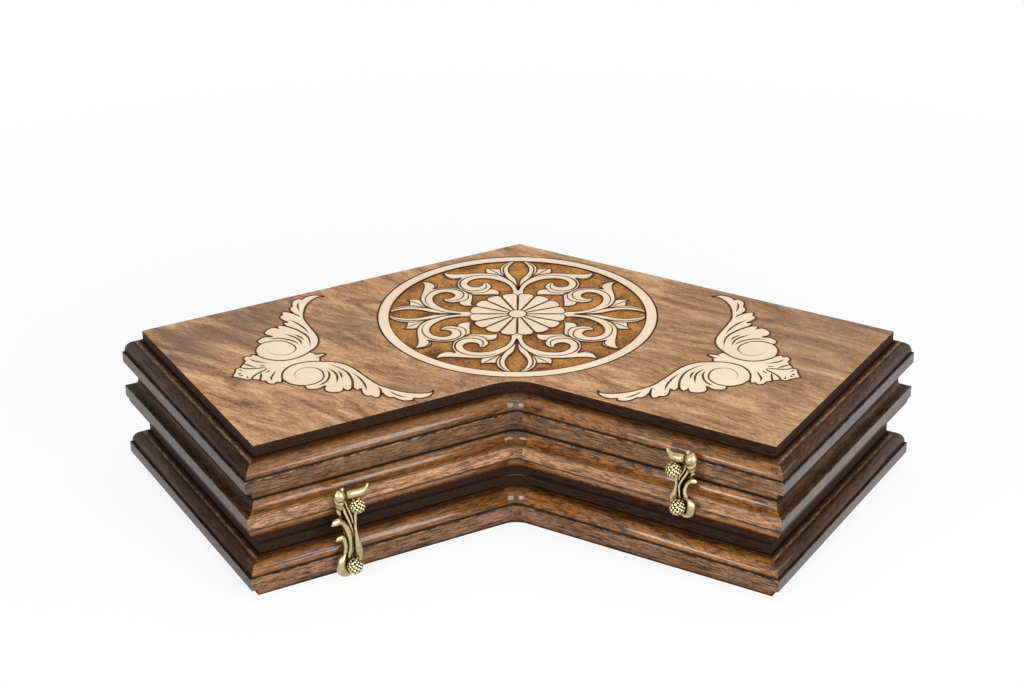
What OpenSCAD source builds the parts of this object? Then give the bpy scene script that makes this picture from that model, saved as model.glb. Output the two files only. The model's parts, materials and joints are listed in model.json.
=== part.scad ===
// Three-player backgammon set: a case of three chevron trays, folded back to face to back.
// The origin is under the middle of the closed case, with the notch towards -Y and the apex towards +Y.
$fn = 64;

/* [Tray] */
// Outer edge of an arm, from the apex to the end
arm_len = 370; // [340:5:420]
// Width across an arm
arm_w = 250; // [235:5:270]
// Height of one tray, from its back to its rim
tray_h = 41; // [40:0.5:48]
// Thickness of the back panel
panel_t = 8.5; // [7:0.5:9]
// Set back of the panel's edge from the band
panel_inset = 13.5; // [13:0.5:16]
// Rounding of the panel's edge at the notch
panel_notch_r = 36; // [10:1:60]
// Thickness of the playing field
field_t = 3; // [2:0.5:5]
// Gap between one tray and the next in the stack
stack_gap = 0.3; // [0.2:0.1:0.6]

/* [Moulding] */
// Width of a rail, from the band's face to the inside wall
rail_w = 20; // [18:0.5:24]
// Height of the band
band_h = 10; // [8:0.5:11]
// Height of the lip beyond the band
lip_h = 10.2; // [8.5:0.1:11]
// Set back of the lip from the band's face
lip_inset = 8.5; // [7.5:0.5:10]
// Radius of the hollow between lip and band
cove_r = 7; // [4:0.5:7.5]
// Radius of the quarter round between band and panel
ovolo_r = 10.5; // [8:0.5:11]
// Depth of the small step beside the band
quirk_d = 1.6; // [0.8:0.1:2.2]
// Height of the small step beside the band
quirk_h = 0.8; // [0.4:0.1:1.2]
// Rounding of the band's edges
edge_r = 0.8; // [0.3:0.1:1.5]
// Rounding of the band at the notch
notch_r = 10; // [4:1:20]

/* [Playing field] */
// Points on each arm
points_per_arm = 6; // [4:1:8]
// Length of a point
point_len = 150; // [110:5:165]
// Depth to which the points are let in
point_t = 0.6; // [0.4:0.1:1.2]
// Border between the points and the rails
point_border = 3; // [2:0.5:8]
// Gap between the bases of two points
point_gap = 1; // [0.5:0.1:3]
// Clearance between field and rails
field_clear = 0.3; // [0.1:0.1:0.6]

/* [Medallion] */
// Margin between the ring and the panel's outer edges
ring_edge_margin = 9; // [4:0.5:25]
// Margin between the ring and the panel's notch
ring_notch_margin = 7; // [4:0.5:25]
// Width of the ring
ring_w = 9.5; // [5:0.5:14]
// Radius of the rosette
rosette_r = 39; // [25:1:50]
// Petals of the rosette
petals = 16; // [8:1:24]
// Groove between two petals
petal_gap = 0.8; // [0.4:0.1:1.5]
// Radius of the rosette's hub
hub_r = 7.8; // [5:0.2:12]
// Depth of the carved ground
carve_t = 1; // [0.6:0.1:2]

/* [Hinges] */
// Length of a hinge
hinge_l = 44; // [30:1:60]
// Distance of the near hinges from the apex, along the outer edge
hinge_near = 80; // [60:5:120]
// Distance of the far hinges from the apex, along the outer edge
hinge_far = 290; // [200:5:300]
// Thickness of a leaf
leaf_t = 1.5; // [1:0.1:2]
// Wood left between a leaf and the inside wall of the lip
leaf_margin = 3; // [1.5:0.5:4]
// Width of the leaf's seat on a panel
panel_seat = 17; // [12:1:25]
// Radius of the knuckles
knuckle_r = 3; // [2.4:0.1:4]
// Radius of the hinge pin
pin_r = 1.5; // [1:0.1:1.8]
// Distance of the hinge axis outside the band's face
hinge_out = 0.5; // [0.4:0.1:2]
// Radius of a screw
screw_r = 1.2; // [0.8:0.1:1.5]
// Radius of a screw's head
screw_head_r = 2.4; // [1.8:0.1:3]
// Wood left between a screw's tip and the far side of a panel
screw_skin = 1.5; // [1:0.5:3]

/* [Latches] */
// Distance of the catches from the notch corner, along the inner face
latch_along = 141.5; // [90:0.5:170]
// Distance that a pivot stands further from the notch corner than its catch
latch_lean = 4; // [0:0.5:8]
// Distance of the latch studs below the middle of the bands
latch_drop = 1.5; // [0:0.1:3]
// Radius of the berry heads
berry_r = 6.2; // [5:0.1:7]
// Radius of the studs
stud_r = 2; // [1.5:0.1:2.5]
// Depth of the studs in the rail
stud_depth = 10; // [6:0.5:14]
// Thickness of the latch arm
latch_t = 3; // [2:0.1:4]
// Thickness of the collar behind the latch arm
collar_t = 1; // [0.6:0.1:2]

/* [Game pieces] */
// Radius of a checker
checker_r = 15; // [12:0.5:16]
// Thickness of a checker
checker_t = 9; // [6:0.5:9.5]
// Checkers in a stack
stack_n = 3; // [1:1:3]
// Edge of a die
die = 14; // [10:0.5:18]

/* [Hidden] */

left = -1;
right = 1;
// The apex of a chevron is 120 degrees, so an outer edge falls 30 degrees from the X axis
half_apex = 60;
edge_fall = 90 - half_apex;
apex_y = (arm_len * cos(half_apex) + arm_w * sin(half_apex)) / 2;

// Heights in a tray that lies on its back
rail_h = tray_h - panel_t;
field_top = panel_t + field_t;
band_hi = rail_h - lip_h;
band_lo = band_hi - band_h;
round_top = band_lo - quirk_h;
least_fillet = 0.3;
round_r = min(ovolo_r, round_top - least_fillet);
round_x = quirk_d + round_r;

// Heights in the stack
middle_z = tray_h + stack_gap;
top_z = 3 * tray_h + 2 * stack_gap;
back_axis_z = tray_h + stack_gap / 2;
rim_axis_z = 2 * tray_h + 3 * stack_gap / 2;
band_mid = lip_h + band_h / 2;
bottom_band_z = band_mid;
middle_band_z = 2 * tray_h + stack_gap - band_mid;
top_band_z = 2 * tray_h + 2 * stack_gap + band_mid;

// The carved round lies between the outer edges and the rounded notch of the panel
panel_depth = (arm_w - 2 * panel_inset + panel_notch_r) / sin(half_apex) - panel_notch_r;
ring_r = (panel_depth - ring_notch_margin - ring_edge_margin / sin(half_apex)) / (1 + 1 / sin(half_apex));
medallion_back = panel_depth - ring_notch_margin - ring_r;

hinge_at = [hinge_near, hinge_far];
leaf_seat = rail_w - lip_inset - leaf_margin;
screw_l = panel_t - screw_skin;

// Overshoot of a cut past the face that it opens
cut = 1;
// Steps along a rounded notch corner
notch_steps = 24;

// Colours
panel_brown = "#8a5a36";
rail_brown = "#6e4424";
field_brown = "#b98a58";
light_wood = "#d8b887";
dark_wood = "#3a2418";
red_wood = "#8a2a1e";
pale_wood = "#d9b892";
brass = "#a8925a";
steel = "#8c8578";

// A point on an arm: along its outer edge from the apex, and inward from that edge
function arm_point(side, along, inward) = [
    side * (sin(half_apex) * along - cos(half_apex) * inward),
    apex_y - cos(half_apex) * along - sin(half_apex) * inward
];

// The corners of the chevron, set back by t on every side
function chevron(t) = [
    arm_point(left, t / tan(half_apex), t),
    arm_point(right, arm_len - t, t),
    arm_point(right, arm_len - t, arm_w - t),
    arm_point(right, (arm_w - t) / tan(half_apex), arm_w - t),
    arm_point(left, arm_len - t, arm_w - t),
    arm_point(left, arm_len - t, t)
];

// Points along the rounded notch corner of the chevron set back by t, from right to left
function rounded_notch(t, r) = [
    for (i = [0 : notch_steps])
        let (turn = half_apex + (180 - 2 * half_apex) * i / notch_steps)
            chevron(t)[3] + r * [cos(turn), sin(turn) - 1 / sin(half_apex)]
];

// Chevron set back by t, with its notch corner rounded to r
module chevron_plan(t, r) {
    corners = chevron(t);
    polygon(concat(
        [corners[0], corners[1], corners[2]],
        rounded_notch(t, r),
        [corners[4], corners[5]]
    ));
}

// Draws on the left arm, with X along its outer edge and Y inward, or mirrors that to the right arm
module on_arm(side) {
    mirror([side == right ? 1 : 0, 0, 0])
        translate([0, apex_y, 0])
            rotate([0, 0, 180 + edge_fall])
                children();
}

// Draws on the notch face of an arm, with X towards the notch corner, Y up and Z out of the face
module on_notch_face(side, along, z) {
    notch = chevron(0)[3];
    mirror([side == right ? 1 : 0, 0, 0])
        translate([notch.x - sin(half_apex) * along, notch.y - cos(half_apex) * along, z])
            rotate([0, 0, edge_fall])
                rotate([90, 0, 0])
                    children();
}

// Puts a tray that lies on its back in its place in the stack
module in_stack(tray) {
    if (tray == "middle")
        translate([0, 0, middle_z]) children();
    else
        translate([0, 0, tray == "top" ? top_z : tray_h]) mirror([0, 0, 1]) children();
}

function has_rim_hinge(tray) = tray != "bottom";
function has_back_hinge(tray) = tray != "top";

// Section of a rail: X is the set back from the band's face, Y the height over the panel
module rail_section() {
    difference() {
        square([rail_w, rail_h]);
        // Quarter round beside the panel
        difference() {
            square([round_x, round_top]);
            translate([round_x, round_top]) circle(round_r);
        }
        // Step beside the band
        translate([0, band_lo - quirk_h]) square([quirk_d, quirk_h]);
        // Hollow beside the lip
        translate([0, band_hi]) square([lip_inset - cove_r, lip_h]);
        translate([0, band_hi + cove_r]) square([lip_inset, lip_h - cove_r]);
        translate([lip_inset - cove_r, band_hi + cove_r]) circle(cove_r);
        // Rounded edges of the band
        difference() {
            translate([0, band_hi - edge_r]) square(edge_r);
            translate([edge_r, band_hi - edge_r]) circle(edge_r);
        }
        difference() {
            translate([0, band_lo]) square(edge_r);
            translate([edge_r, band_lo + edge_r]) circle(edge_r);
        }
    }
}

// A straight rail along X with mitred ends: cuts are the mitre lines' shifts at the inside wall
module straight_rail(length, start_shift, end_shift) {
    translate([0, 0, panel_t])
        intersection() {
            rotate([90, 0, 90]) linear_extrude(length) rail_section();
            linear_extrude(rail_h)
                polygon([[0, 0], [length, 0], [length - end_shift, rail_w], [start_shift, rail_w]]);
        }
}

module outer_rail(tray, side) {
    color(rail_brown)
        in_stack(tray)
            on_arm(side)
                difference() {
                    straight_rail(arm_len, rail_w / tan(half_apex), rail_w);
                    if (has_rim_hinge(tray) && side == right)
                        for (at = hinge_at)
                            translate([at, 0, tray_h]) {
                                leaf_pocket(lip_inset + leaf_seat);
                                screw_holes(rim_screw_y());
                            }
                }
}

module end_rail(tray, side) {
    color(rail_brown)
        in_stack(tray)
            on_arm(side)
                translate([arm_len, 0, 0])
                    rotate([0, 0, 90])
                        straight_rail(arm_w, rail_w, rail_w);
}

// The rail beside the notch, from the end of the arm to the notch block
module inner_rail(tray, side) {
    color(rail_brown)
        difference() {
            in_stack(tray)
                on_arm(side)
                    translate([arm_len, arm_w, 0])
                        rotate([0, 0, 180])
                            straight_rail(arm_len - (arm_w + notch_r) / tan(half_apex), rail_w, 0);
            stud_holes(side);
        }
}

// The moulding's rounded corner at the notch, turned about the middle of the rounding
module notch_block(tray) {
    centre = chevron(0)[3] - [0, notch_r / sin(half_apex)];
    color(rail_brown)
        in_stack(tray)
            translate([centre.x, centre.y, panel_t])
                rotate([0, 0, half_apex])
                    rotate_extrude(angle = 180 - 2 * half_apex)
                        translate([notch_r, 0]) rail_section();
}

module panel(tray) {
    color(panel_brown)
        in_stack(tray)
            difference() {
                linear_extrude(panel_t) chevron_plan(panel_inset, panel_notch_r);
                if (has_back_hinge(tray))
                    on_arm(left)
                        for (at = hinge_at)
                            translate([at, 0, 0])
                                mirror([0, 0, 1]) {
                                    leaf_pocket(panel_inset + panel_seat);
                                    screw_holes(back_screw_y());
                                }
                if (tray == "top")
                    on_medallion() translate([0, 0, -cut]) cylinder(r = ring_r, h = carve_t + cut, $fn = 128);
            }
}

module field(tray) {
    color(field_brown)
        in_stack(tray)
            translate([0, 0, panel_t])
                difference() {
                    linear_extrude(field_t)
                        chevron_plan(rail_w + field_clear, notch_r + rail_w + field_clear);
                    translate([0, 0, field_t - point_t])
                        linear_extrude(point_t + cut) {
                            points_plan(0);
                            points_plan(1);
                        }
                }
}

// Every second point of a tray, with its base at the notch side and its tip towards the outer edge
module points_plan(parity) {
    base = arm_w - rail_w - point_border;
    first = base / tan(half_apex);
    pitch = (arm_len - rail_w - point_border - first) / points_per_arm;
    for (side = [left, right])
        for (i = [0 : points_per_arm - 1])
            if ((i + (side == left ? 0 : 1)) % 2 == parity)
                polygon([
                    arm_point(side, first + i * pitch + point_gap / 2, base),
                    arm_point(side, first + (i + 1) * pitch - point_gap / 2, base),
                    arm_point(side, first + (i + 1 / 2) * pitch, base - point_len)
                ]);
}

module points(tray, parity) {
    color(parity == 0 ? dark_wood : light_wood)
        in_stack(tray)
            translate([0, 0, field_top - point_t])
                linear_extrude(point_t) points_plan(parity);
}

// The middle of the carved round, on the back of a tray
module on_medallion() {
    translate([0, chevron(panel_inset)[0].y - medallion_back, 0]) children();
}

module medallion_ring() {
    color(pale_wood)
        in_stack("top")
            on_medallion()
                difference() {
                    cylinder(r = ring_r, h = carve_t, $fn = 128);
                    translate([0, 0, -cut]) cylinder(r = ring_r - ring_w, h = carve_t + 2 * cut, $fn = 128);
                }
}

// Rounded petals between the hub and the rim of the rosette
module medallion_rosette() {
    petal_r = rosette_r * sin(180 / petals) / (1 + sin(180 / petals)) - petal_gap / 2;
    middle = rosette_r - petal_r;
    color(pale_wood)
        in_stack("top")
            on_medallion()
                linear_extrude(carve_t) {
                    circle(hub_r);
                    for (i = [0 : petals - 1])
                        rotate((i + 1 / 2) * 360 / petals) {
                            translate([middle, 0]) circle(petal_r);
                            polygon([[0, 0], [middle, -petal_r], [middle, petal_r]]);
                        }
                }
}

/* Hinges: drawn on an arm with the axis along X at Y = -hinge_out and Z = 0, the leaf below it */
knuckles = 5;
knuckle_gap = 0.3;
knuckle_l = hinge_l / knuckles;
knuckle_clear = 0.4;
leaf_start = knuckle_r + knuckle_clear - hinge_out;
pin_clear = 0.05;
seat_clear = 0.1;
screw_clear = 0.05;
screw_pitch = hinge_l / 3;

function rim_screw_y() = lip_inset + leaf_seat / 2;
function back_screw_y() = panel_inset + panel_seat / 2;

// Pocket for a leaf that lies flush in a face at Z = 0, open to the outside
module leaf_pocket(reach) {
    translate([-hinge_l / 2 - seat_clear, -cut, -leaf_t])
        cube([hinge_l + 2 * seat_clear, reach + seat_clear + cut, leaf_t + cut]);
}

module screw_places(y) {
    for (i = [-1 : 1])
        translate([i * screw_pitch, y, 0]) children();
}

module screw_holes(y) {
    screw_places(y) translate([0, 0, -screw_l]) cylinder(r = screw_r + screw_clear, h = screw_l);
}

// Countersunk screw with its head flush at Z = 0
module screw() {
    translate([0, 0, -screw_l]) cylinder(r = screw_r, h = screw_l - leaf_t);
    translate([0, 0, -leaf_t]) cylinder(r1 = screw_r, r2 = screw_head_r, h = leaf_t);
}

module leaf(reach, screw_y, first) {
    difference() {
        union() {
            translate([-hinge_l / 2, leaf_start, -stack_gap / 2 - leaf_t])
                cube([hinge_l, reach - leaf_start, leaf_t]);
            for (i = [first : 2 : knuckles - 1])
                translate([-hinge_l / 2 + i * knuckle_l + knuckle_gap / 2, -hinge_out, 0]) {
                    rotate([0, 90, 0]) cylinder(r = knuckle_r, h = knuckle_l - knuckle_gap);
                    translate([0, 0, -stack_gap / 2 - leaf_t])
                        cube([knuckle_l - knuckle_gap, hinge_out + leaf_start, leaf_t]);
                }
        }
        translate([-hinge_l / 2 - cut, -hinge_out, 0])
            rotate([0, 90, 0]) cylinder(r = pin_r + pin_clear, h = hinge_l + 2 * cut);
        translate([0, 0, -stack_gap / 2])
            screw_places(screw_y)
                translate([0, 0, -leaf_t - screw_clear])
                    cylinder(
                        r1 = screw_r + screw_clear,
                        r2 = screw_head_r + 2 * screw_clear,
                        h = leaf_t + 2 * screw_clear
                    );
    }
}

module hinge_places(side, z) {
    on_arm(side)
        for (at = hinge_at)
            translate([at, 0, z]) children();
}

module hinge_pins(side, z) {
    color(steel)
        hinge_places(side, z)
            translate([-hinge_l / 2, -hinge_out, 0])
                rotate([0, 90, 0]) cylinder(r = pin_r, h = hinge_l);
}

module lower_leaves(side, z, reach, screw_y) {
    color(brass) hinge_places(side, z) leaf(reach, screw_y, 0);
}

module upper_leaves(side, z, reach, screw_y) {
    color(brass) hinge_places(side, z) mirror([0, 0, 1]) leaf(reach, screw_y, 1);
}

module lower_screws(side, z, y) {
    color(brass) hinge_places(side, z) translate([0, 0, -stack_gap / 2]) screw_places(y) screw();
}

module upper_screws(side, z, y) {
    color(brass)
        hinge_places(side, z)
            mirror([0, 0, 1]) translate([0, 0, -stack_gap / 2]) screw_places(y) screw();
}

/* Latches: drawn on a notch face with the pivot at the origin and the catch above it */
left_pivot_z = bottom_band_z - latch_drop;
left_rise = middle_band_z - bottom_band_z;
right_pivot_z = middle_band_z - latch_drop;
right_rise = top_band_z - middle_band_z;
pivot_along = latch_along + latch_lean;
collar_r = 4.2;
arm_clear = 0.2;
arm_back = collar_t + arm_clear;
berry_base = arm_back + latch_t + 2 * arm_clear;
pivot_clear = 0.06;
throat_clear = 0.5;
stud_clear = 0.05;

module stud() {
    translate([0, 0, -stud_depth]) cylinder(r = stud_r, h = stud_depth + berry_base + berry_r);
    cylinder(r = collar_r, h = collar_t);
    translate([0, 0, berry_base + berry_r]) sphere(berry_r);
}

module stud_hole() {
    translate([0, 0, -stud_depth - cut]) cylinder(r = stud_r + stud_clear, h = stud_depth + 2 * cut);
}

module stud_holes(side) {
    pivot_z = side == left ? left_pivot_z : right_pivot_z;
    rise = side == left ? left_rise : right_rise;
    on_notch_face(side, pivot_along, pivot_z) stud_hole();
    on_notch_face(side, latch_along, pivot_z + rise) stud_hole();
}

module pivot_stud(side, z) {
    color(brass) on_notch_face(side, pivot_along, z) stud();
}

module catch_stud(side, z) {
    color(brass) on_notch_face(side, latch_along, z) stud();
}

// A crescent between two circles
module lune(outer_at, outer_r, inner_at, inner_r) {
    difference() {
        translate(outer_at) circle(outer_r);
        translate(inner_at) circle(inner_r);
    }
}

// A pointed leaf between two equal circles, upright, with its middle at the origin
module vesica(length, width) {
    r = (length * length + width * width) / (4 * width);
    intersection() {
        translate([r - width / 2, 0]) circle(r);
        translate([width / 2 - r, 0]) circle(r);
    }
}

horn_at = [0.5, 20];
horn_r = 13;
horn_top_at = [0.1, 36.4];
horn_top_r = 26;
bud_l = 18;
bud_w = 9;
bud_at = [-11, 5];
bud_turn = 8;
bud_t = 7;
foot_r = 9;
foot_at = [-4.4, -1.2];
foot_t = 7;
foot_web = 2;
head_r = 6.5;
head_at = [-5, -1];
stem_w = 2.6;
stem_foot = [-2.6, 5.4];
stem_head = [-7.5, 1];
// Claws on the outer stem: how far out, at what share of the span, and their radius
claws = [[-13.2, 0.66, 7.6], [-10.4, 0.42, 5.2]];
claw_w = 2.6;
second_claw_span = 40;
eye_r = 6;

// The flat web of the arm: eye, two stems, head and claws; a short arm has a single claw
module latch_web(span) {
    circle(eye_r);
    translate(foot_at) circle(foot_r - foot_web);
    translate([head_at.x, span + head_at.y]) circle(head_r);
    for (x = [0, 1])
        polygon([
            [stem_foot[x] - stem_w / 2, 0],
            [stem_foot[x] + stem_w / 2, 0],
            [stem_head[x] + stem_w / 2, span],
            [stem_head[x] - stem_w / 2, span]
        ]);
    for (i = [0 : span > second_claw_span ? 1 : 0])
        translate([claws[i][0], claws[i][1] * span])
            lune([0, 0], claws[i][2], [-claw_w / 2, -claw_w], claws[i][2]);
}

// The boat-shaped horn over the catch berry
module horn(span) {
    translate([0, span]) lune(horn_at, horn_r, horn_top_at, horn_top_r);
}

// Where the catch stud stands, and where it passes when the arm swings away from the notch
module throat(span) {
    r = stud_r + throat_clear;
    translate([0, span]) circle(r);
    intersection() {
        difference() {
            circle(span + r);
            circle(span - r);
        }
        polygon([[0, 0], [0, 2 * span], [span, 2 * span], [span, span / 2]]);
    }
}

// An arm that stands upright over its pivot
module upright_arm(span) {
    difference() {
        translate([0, 0, arm_back]) {
            linear_extrude(latch_t)
                difference() {
                    latch_web(span);
                    throat(span);
                }
            linear_extrude(latch_t) horn(span);
            translate([bud_at.x, span + bud_at.y, 0])
                rotate(bud_turn) linear_extrude(bud_t) vesica(bud_l, bud_w);
            linear_extrude(foot_t) lune(foot_at, foot_r, [0, 0], berry_r + throat_clear);
        }
        cylinder(r = stud_r + pivot_clear, h = berry_base);
    }
}

// An arm that leans from its pivot to its catch
module latch_arm(side, z, rise) {
    color(brass)
        on_notch_face(side, pivot_along, z)
            rotate(-atan(latch_lean / rise))
                upright_arm(sqrt(latch_lean * latch_lean + rise * rise));
}

/* Game pieces: they lie on the field of the middle tray */
piece_clear = 2;
checker_lip = 4;
checker_groove = 0.8;
checker_gap = 0.1;
die_round = 0.72;

// A turned disc with a ring groove on both faces
module checker() {
    rotate_extrude()
        difference() {
            square([checker_r, checker_t]);
            for (z = [0, checker_t])
                translate([checker_r - checker_lip, z]) circle(checker_groove);
        }
}

module checker_stack() {
    for (i = [0 : stack_n - 1])
        translate([0, 0, i * (checker_t + checker_gap)]) checker();
}

checkers = 15;
stacks = ceil(checkers / stack_n);
stack_pitch = 2 * checker_r + piece_clear;
row_inset = rail_w + piece_clear + checker_r;
dice_reach = die + piece_clear / 2;

// Each row starts where the two dice still fit between the first stacks
row_start = (dice_reach + piece_clear + checker_r + row_inset * cos(half_apex)) / sin(half_apex);

module on_field() {
    translate([0, 0, middle_z + field_top]) children();
}

module checker_row(side, tint) {
    color(tint)
        on_field()
            on_arm(side)
                for (i = [0 : stacks - 1])
                    translate([
                        row_start + i * stack_pitch,
                        row_inset,
                        0
                    ]) checker_stack();
}

module end_row(side, tint) {
    color(tint)
        on_field()
            on_arm(side)
                for (i = [0 : stacks - 1])
                    translate([
                        arm_len - rail_w - piece_clear - checker_r,
                        arm_w / 2 + (i - (stacks - 1) / 2) * stack_pitch,
                        0
                    ]) checker_stack();
}

// Two dice side by side between the first stacks of the rows
module dice() {
    dice_y = arm_point(left, row_start, row_inset).y;
    color(pale_wood)
        on_field()
            for (side = [left, right])
                translate([side * (die + piece_clear) / 2, dice_y, die / 2])
                    intersection() {
                        cube(die, center = true);
                        sphere(die * die_round);
                    }
}

outer_rail("bottom", left);  // bottom_outer_left_rail
outer_rail("bottom", right);  // bottom_outer_right_rail
end_rail("bottom", left);  // bottom_left_end_rail
end_rail("bottom", right);  // bottom_right_end_rail
inner_rail("bottom", left);  // bottom_inner_left_rail
inner_rail("bottom", right);  // bottom_inner_right_rail
notch_block("bottom");  // bottom_notch_block
panel("bottom");  // bottom_panel
field("bottom");  // bottom_field
points("bottom", 1);  // bottom_light_points
points("bottom", 0);  // bottom_dark_points
outer_rail("middle", left);  // middle_outer_left_rail
outer_rail("middle", right);  // middle_outer_right_rail
end_rail("middle", left);  // middle_left_end_rail
end_rail("middle", right);  // middle_right_end_rail
inner_rail("middle", left);  // middle_inner_left_rail
inner_rail("middle", right);  // middle_inner_right_rail
notch_block("middle");  // middle_notch_block
panel("middle");  // middle_panel
field("middle");  // middle_field
points("middle", 1);  // middle_light_points
points("middle", 0);  // middle_dark_points
outer_rail("top", left);  // top_outer_left_rail
outer_rail("top", right);  // top_outer_right_rail
end_rail("top", left);  // top_left_end_rail
end_rail("top", right);  // top_right_end_rail
inner_rail("top", left);  // top_inner_left_rail
inner_rail("top", right);  // top_inner_right_rail
notch_block("top");  // top_notch_block
panel("top");  // top_panel
field("top");  // top_field
points("top", 1);  // top_light_points
points("top", 0);  // top_dark_points
medallion_ring();
medallion_rosette();
upper_leaves(right, rim_axis_z, lip_inset + leaf_seat, rim_screw_y());  // right_hinge_top_leaves
lower_leaves(right, rim_axis_z, lip_inset + leaf_seat, rim_screw_y());  // right_hinge_middle_leaves
hinge_pins(right, rim_axis_z);  // right_hinge_pins
upper_leaves(left, back_axis_z, panel_inset + panel_seat, back_screw_y());  // left_hinge_middle_leaves
lower_leaves(left, back_axis_z, panel_inset + panel_seat, back_screw_y());  // left_hinge_bottom_leaves
hinge_pins(left, back_axis_z);  // left_hinge_pins
upper_screws(right, rim_axis_z, rim_screw_y());  // top_hinge_screws
union() {  // middle_hinge_screws
    lower_screws(right, rim_axis_z, rim_screw_y());
    upper_screws(left, back_axis_z, back_screw_y());
}
lower_screws(left, back_axis_z, back_screw_y());  // bottom_hinge_screws
latch_arm(left, left_pivot_z, left_rise);  // left_latch_arm
pivot_stud(left, left_pivot_z);  // left_latch_pivot
catch_stud(left, left_pivot_z + left_rise);  // left_latch_catch
latch_arm(right, right_pivot_z, right_rise);  // right_latch_arm
pivot_stud(right, right_pivot_z);  // right_latch_pivot
catch_stud(right, right_pivot_z + right_rise);  // right_latch_catch
checker_row(left, light_wood);  // light_checkers
checker_row(right, dark_wood);  // dark_checkers
end_row(right, red_wood);  // red_checkers
dice();
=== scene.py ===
"""Looks of the three-player backgammon set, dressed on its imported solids."""

import json
import math

import bpy
from mathutils import Matrix, Vector


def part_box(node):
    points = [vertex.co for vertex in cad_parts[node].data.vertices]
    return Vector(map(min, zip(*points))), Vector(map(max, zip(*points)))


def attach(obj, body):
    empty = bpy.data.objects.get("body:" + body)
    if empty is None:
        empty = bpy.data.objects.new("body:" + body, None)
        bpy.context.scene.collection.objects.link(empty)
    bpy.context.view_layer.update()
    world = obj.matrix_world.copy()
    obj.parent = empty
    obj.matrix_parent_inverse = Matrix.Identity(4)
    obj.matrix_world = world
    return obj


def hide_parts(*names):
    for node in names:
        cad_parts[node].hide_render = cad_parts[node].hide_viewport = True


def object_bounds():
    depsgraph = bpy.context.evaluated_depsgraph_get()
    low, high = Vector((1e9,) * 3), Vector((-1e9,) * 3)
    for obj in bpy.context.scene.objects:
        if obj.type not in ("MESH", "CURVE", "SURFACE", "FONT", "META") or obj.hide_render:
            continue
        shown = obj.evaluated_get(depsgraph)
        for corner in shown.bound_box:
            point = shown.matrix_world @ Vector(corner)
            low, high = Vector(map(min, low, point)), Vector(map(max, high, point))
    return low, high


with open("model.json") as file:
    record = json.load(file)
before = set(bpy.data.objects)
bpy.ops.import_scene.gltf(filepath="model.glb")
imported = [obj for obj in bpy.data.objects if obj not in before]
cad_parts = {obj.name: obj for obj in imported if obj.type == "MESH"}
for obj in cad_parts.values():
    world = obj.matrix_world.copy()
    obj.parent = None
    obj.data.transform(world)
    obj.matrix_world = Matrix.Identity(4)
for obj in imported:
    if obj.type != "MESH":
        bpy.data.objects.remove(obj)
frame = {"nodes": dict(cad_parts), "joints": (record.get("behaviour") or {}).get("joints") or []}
cad_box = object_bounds()
nodes = frame["nodes"]
joints = {joint["name"]: joint for joint in frame["joints"]}
MM = 0.001
TRAYS = ("bottom", "middle", "top")

# Places that the frame gives, in metres
panel_low, panel_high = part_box("top_panel")
panel_top = panel_high.z
ring_low, ring_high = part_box("medallion_ring")
medallion = (ring_low + ring_high) / 2
ring_r = (ring_high.x - ring_low.x) / 2
ground_z = ring_low.z
rail_low, rail_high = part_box("middle_inner_left_rail")

# How far the outer edges fall from the sideways axis
EDGE_FALL = math.radians(30)
FALL, RUN = math.sin(EDGE_FALL), math.cos(EDGE_FALL)

# Heights on the rail's section over the panel, in millimetres
RAIL_H = (rail_high.z - rail_low.z) / MM
RIM_AT = 1.5
ROUND_TOP = 11.5
BAND_LOW = 12.3
BAND_TOP = 22.3

# Ring of the carved round and the scorched lines along it, in millimetres
RING_W = 9.5
RING_LINE = 1.0

# Colours, linear
PANEL_DARK = (0.15, 0.078, 0.043, 1)
PANEL_MID = (0.485, 0.272, 0.138, 1)
PANEL_LIGHT = (0.78, 0.5, 0.28, 1)
PANEL_CLOUD = (0.19, 0.112, 0.085, 1)
PANEL_EDGE = (0.045, 0.022, 0.012, 1)
CARVED_LIGHT = (0.62, 0.3, 0.085, 1)
CARVED_GROUND = (0.36, 0.155, 0.042, 1)
CARVED_DEEP = (0.11, 0.048, 0.02, 1)
CREAM = (0.95, 0.785, 0.6, 1)
CREAM_SHADE = (0.87, 0.68, 0.48, 1)
BURNT = (0.045, 0.018, 0.009, 1)
BURNT_PALE = (0.16, 0.07, 0.03, 1)
BAND_DARK = (0.05, 0.024, 0.014, 1)
BAND_LIGHT = (0.31, 0.168, 0.092, 1)
ROUND_DARK = (0.04, 0.014, 0.004, 1)
ROUND_LIGHT = (0.38, 0.155, 0.038, 1)
END_DARK = (0.006, 0.003, 0.002, 1)
END_LIGHT = (0.058, 0.027, 0.0125, 1)
# Near-black of pores and grain, also painted as shade in creases and joints
BLACK_GRAIN_AND_SHADE = (0.008, 0.0035, 0.002, 1)
WORN = (0.4, 0.24, 0.14, 1)
BRASS_PALE = (0.72, 0.6, 0.34, 1)
BRASS_MID = (0.22, 0.17, 0.078, 1)
BRASS_BLACK = (0.006, 0.005, 0.004, 1)
WHITE = (1, 1, 1, 1)
FLOOR_WHITE = (0.93, 0.95, 0.98, 1)

# Pairs of colours, dark and light
FIELD = ((0.2, 0.1, 0.045, 1), (0.42, 0.23, 0.105, 1))
LIGHT_WOOD = ((0.5, 0.33, 0.17, 1), (0.74, 0.54, 0.31, 1))
DARK_WOOD = ((0.018, 0.009, 0.006, 1), (0.065, 0.03, 0.017, 1))
RED_WOOD = ((0.13, 0.012, 0.008, 1), (0.3, 0.03, 0.016, 1))
ROLLED_BRASS = ((0.4, 0.28, 0.11, 1), (0.72, 0.53, 0.24, 1))
STEEL = ((0.25, 0.23, 0.21, 1), (0.5, 0.48, 0.45, 1))
IVORY = ((0.62, 0.52, 0.36, 1), (0.78, 0.7, 0.54, 1))
EBONY = ((0.01, 0.009, 0.008, 1), (0.03, 0.026, 0.022, 1))


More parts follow.
